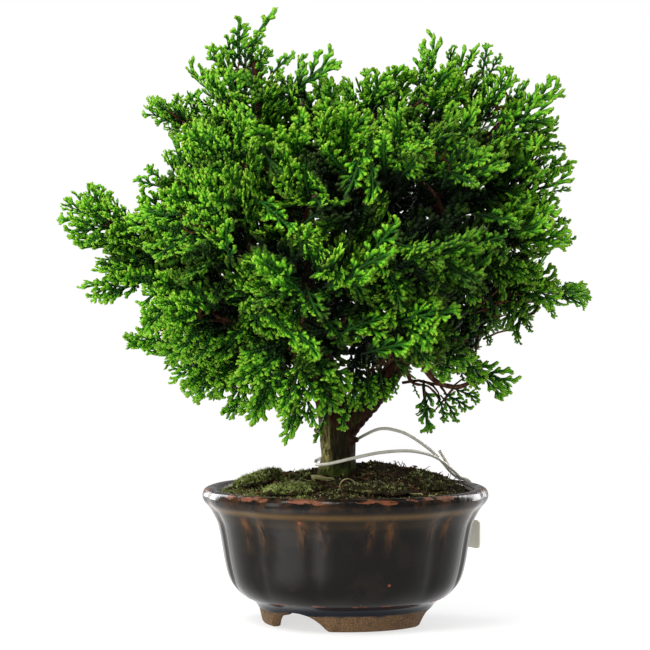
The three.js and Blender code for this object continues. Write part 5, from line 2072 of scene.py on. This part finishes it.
@dataclass
class LabelTie:
    """The plastic-coated tie round the trunk, and the blank label on it."""

    diameter: float = 1.7
    route: tuple = (
        (65.5, 28.6, 51.9), (67.2, 31.2, 56), (67.7, 35.6, 64), (65.2, 38.6, 70.4), (60.2, 38.2, 72.6),
        (56.2, 34.2, 76.2), (52.2, 29.4, 81.2), (47.7, 24.9, 86.2), (42.2, 22, 90.8), (35.4, 20, 95.5),
        (28.4, 18.5, 98.7), (18.8, 17, 100.1), (9, 15, 96.2), (0, 14.2, 90.6), (-8, 12.4, 86.6),
        (-13.6, 7.6, 84.8), (-15.8, 0.6, 84), (-14.6, -8.2, 83.2), (-8.4, -14.6, 84.2), (0.5, -16.8, 86.4),
        (9.5, -15.2, 88.4), (18, -11.5, 89.7), (28.4, -6.5, 90.2), (36.3, 0, 89.4), (44.5, 8, 87),
        (49.9, 14.8, 84), (54.4, 22.6, 80.2), (58.6, 29.4, 76.2), (62.2, 33.8, 72.6), (66.4, 35.4, 70.8),
        (69.8, 35.8, 65), (71, 37, 58.4), (70.2, 40, 53.4), (67.2, 43, 53.2), (65, 45, 58.2),
        (63.8, 45.4, 64.5), (61.8, 44, 71), (58.4, 40.8, 75.2), (54.6, 36.2, 80.6), (50.6, 31.2, 87.2),
    )
    points: int = 260

    def label(self) -> Object:
        """The blank label, its edges rounded over."""
        mesh = copied("label")
        holder = held(mesh)
        bevel = holder.modifiers.new("soften", "BEVEL")
        bevel.width = 0.18 * MM
        bevel.segments = 2
        bevel.limit_method = "ANGLE"
        # painted light: the label glows a little in its own colour, standing in for light through the thin
        # plastic
        finish = PlasticFinish((0.64, 0.63, 0.52), (0.54, 0.53, 0.40), 0.45, glow=0.30).make("label plastic")
        return piece(evaluated(holder), "label_tag", [finish], ["label"])

    def build(self) -> None:
        tag = self.label()
        line = catmull(self.route, self.points)
        curve = bpy.data.curves.new("label_tie_cord", "CURVE")
        curve.dimensions = "3D"
        curve.bevel_depth = self.diameter / 2 * MM
        curve.bevel_resolution = 2
        curve.use_fill_caps = True
        spline = curve.splines.new("POLY")
        spline.points.add(len(line) - 1)
        for point, (x, y, z) in zip(spline.points, line):
            point.co = (*spot(x, y, z), 1.0)
        cord = held(curve, "label_tie_cord")
        finish = PlasticFinish((0.66, 0.64, 0.56), (0.44, 0.43, 0.36), 0.35).make("tie plastic")
        curve.materials.append(finish)
        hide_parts("label_tie")
        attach(cord, BODY)


# ---- studio ----


@dataclass
class Studio:
    """Floor, lights and camera."""

    eye: Point = (-10.7, -1600.0, 218.0)
    aim: Point = (-10.7, 0.0, 155.7)
    lens: float = 169.5
    sensor: float = 36.0
    surround: float = 0.13
    mirrored: float = 0.42
    light_pool: Point = (-95.0, -108.0, 0.0)
    lamps: tuple = (
        ("key", (-500, -600, 1150), (0, 0, 180), (0.7, 0.7), 21, (1.0, 0.98, 0.95)),
        ("top", (250, 200, 1300), (0, 0, 200), (0.8, 0.8), 6, (1.0, 1.0, 1.0)),
        ("front", (-450, -1150, 90), (0, 0, 150), (0.7, 0.5), 9, (1.0, 1.0, 0.97)),
        ("left strip", (-680, 700, 300), (0, 0, 60), (0.40, 0.9), 12, (1.0, 1.0, 1.0)),
        ("right strip", (680, 620, 300), (0, 0, 60), (0.40, 0.9), 12, (1.0, 1.0, 1.0)),
        ("left box", (-900, -560, 300), (0, 0, 80), (0.30, 0.6), 3, (1.0, 1.0, 1.0)),
    )

    @staticmethod
    def aimed(data: bpy.types.ID, name: str, place: Point, aim: Point) -> Object:
        """Puts a lamp or camera in the scene.

        Args:
            data: the lamp or camera.
            name: its name.
            place: where it stands, in millimetres about the pot's axis.
            aim: what it looks at.

        Returns:
            Its object.
        """
        obj = held(data, name)
        obj.location = spot(*place)
        look = spot(*aim) - spot(*place)
        obj.rotation_euler = look.to_track_quat("-Z", "Y").to_euler()
        return obj

    def camera(self) -> None:
        """A long lens, slightly above the pot's rim."""
        data = bpy.data.cameras.new("camera")
        data.lens = self.lens
        data.sensor_width = self.sensor
        data.clip_end = 20
        bpy.context.scene.camera = self.aimed(data, "camera", self.eye, self.aim)

    def light(self) -> None:
        """Soft rectangular lamps, their sizes in metres. The front one isn't mirrored in the glaze."""
        for name, place, aim, size, power, tint in self.lamps:
            data = bpy.data.lights.new(name, "AREA")
            data.shape = "RECTANGLE"
            data.size, data.size_y = size
            data.energy = power
            data.color = tint
            self.aimed(data, name, place, aim).visible_glossy = name != "front"

    def floor(self) -> None:
        """A wide pale floor that glows, with a painted patch of light before the pot on the left, which the
        glaze mirrors.
        """
        shape = Shape()
        corners = ((-1, -1, 0), (1, -1, 0), (1, 1, 0), (-1, 1, 0))
        shape.add(np.array(corners) * 6000.0, [(0, 1, 2, 3)])
        floor = held(shape.mesh("floor"), "floor")
        tree = Tree("pale floor")
        away = tree.node("ShaderNodeVectorMath", {"operation": "LENGTH"}, {0: tree.place()}, "Value")
        far = away.between(0.25, 1.1)
        paint = tree.mix(tree.noise(400, 2), (0.30, 0.30, 0.30), (0.31, 0.31, 0.31))
        paint = tree.mix(far, paint, (0.0, 0.0, 0.0))
        glow = tree.mix(far, (0.66, 0.66, 0.66), (1.0, 1.0, 1.0))
        # painted light: a bright glowing patch on the floor, which the glaze mirrors
        glow = tree.mix(tree.away(spot(*self.light_pool)).between(0.075, 0.02), glow, (3.2, 3.2, 3.2))
        floor.data.materials.append(
            tree.finish(Base_Color=paint, Roughness=1.0, IOR=1.0, Emission_Color=glow, Emission_Strength=1.0)
        )

    def sky(self) -> None:
        """A white surround: bright behind the tree, softer in the glaze and as a light."""
        tree = Tree("surround", surround=True)
        level = self.surround
        for ray, strength in (("Is Glossy Ray", self.mirrored), ("Is Camera Ray", 1.0)):
            seen = tree.node("ShaderNodeLightPath", output=ray)
            level = tree.node("ShaderNodeMix", inputs={0: seen, 2: level, 3: strength})
        white = tree.node("ShaderNodeBackground", inputs={"Color": (1, 1, 1, 1), "Strength": level})
        tree.node("ShaderNodeOutputWorld", inputs={"Surface": white})
        bpy.context.scene.world = tree.owner

    def build(self) -> None:
        """Makes the studio."""
        self.camera()
        self.floor()
        self.sky()
        self.light()
        bpy.context.scene.view_settings.view_transform = "Standard"


def write_sizes() -> None:
    """Brings the scene up to date."""
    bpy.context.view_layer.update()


def main() -> None:
    """Builds the bonsai and its studio."""
    logging.basicConfig(level=logging.INFO, format="%(name)s %(message)s")
    Studio().build()
    LabelTie().build()
    Pot().build()
    Drainage().build()
    Soil().build()
    Wood().build()
    Foliage().build()
    write_sizes()


if __name__ == "__main__":
    main()
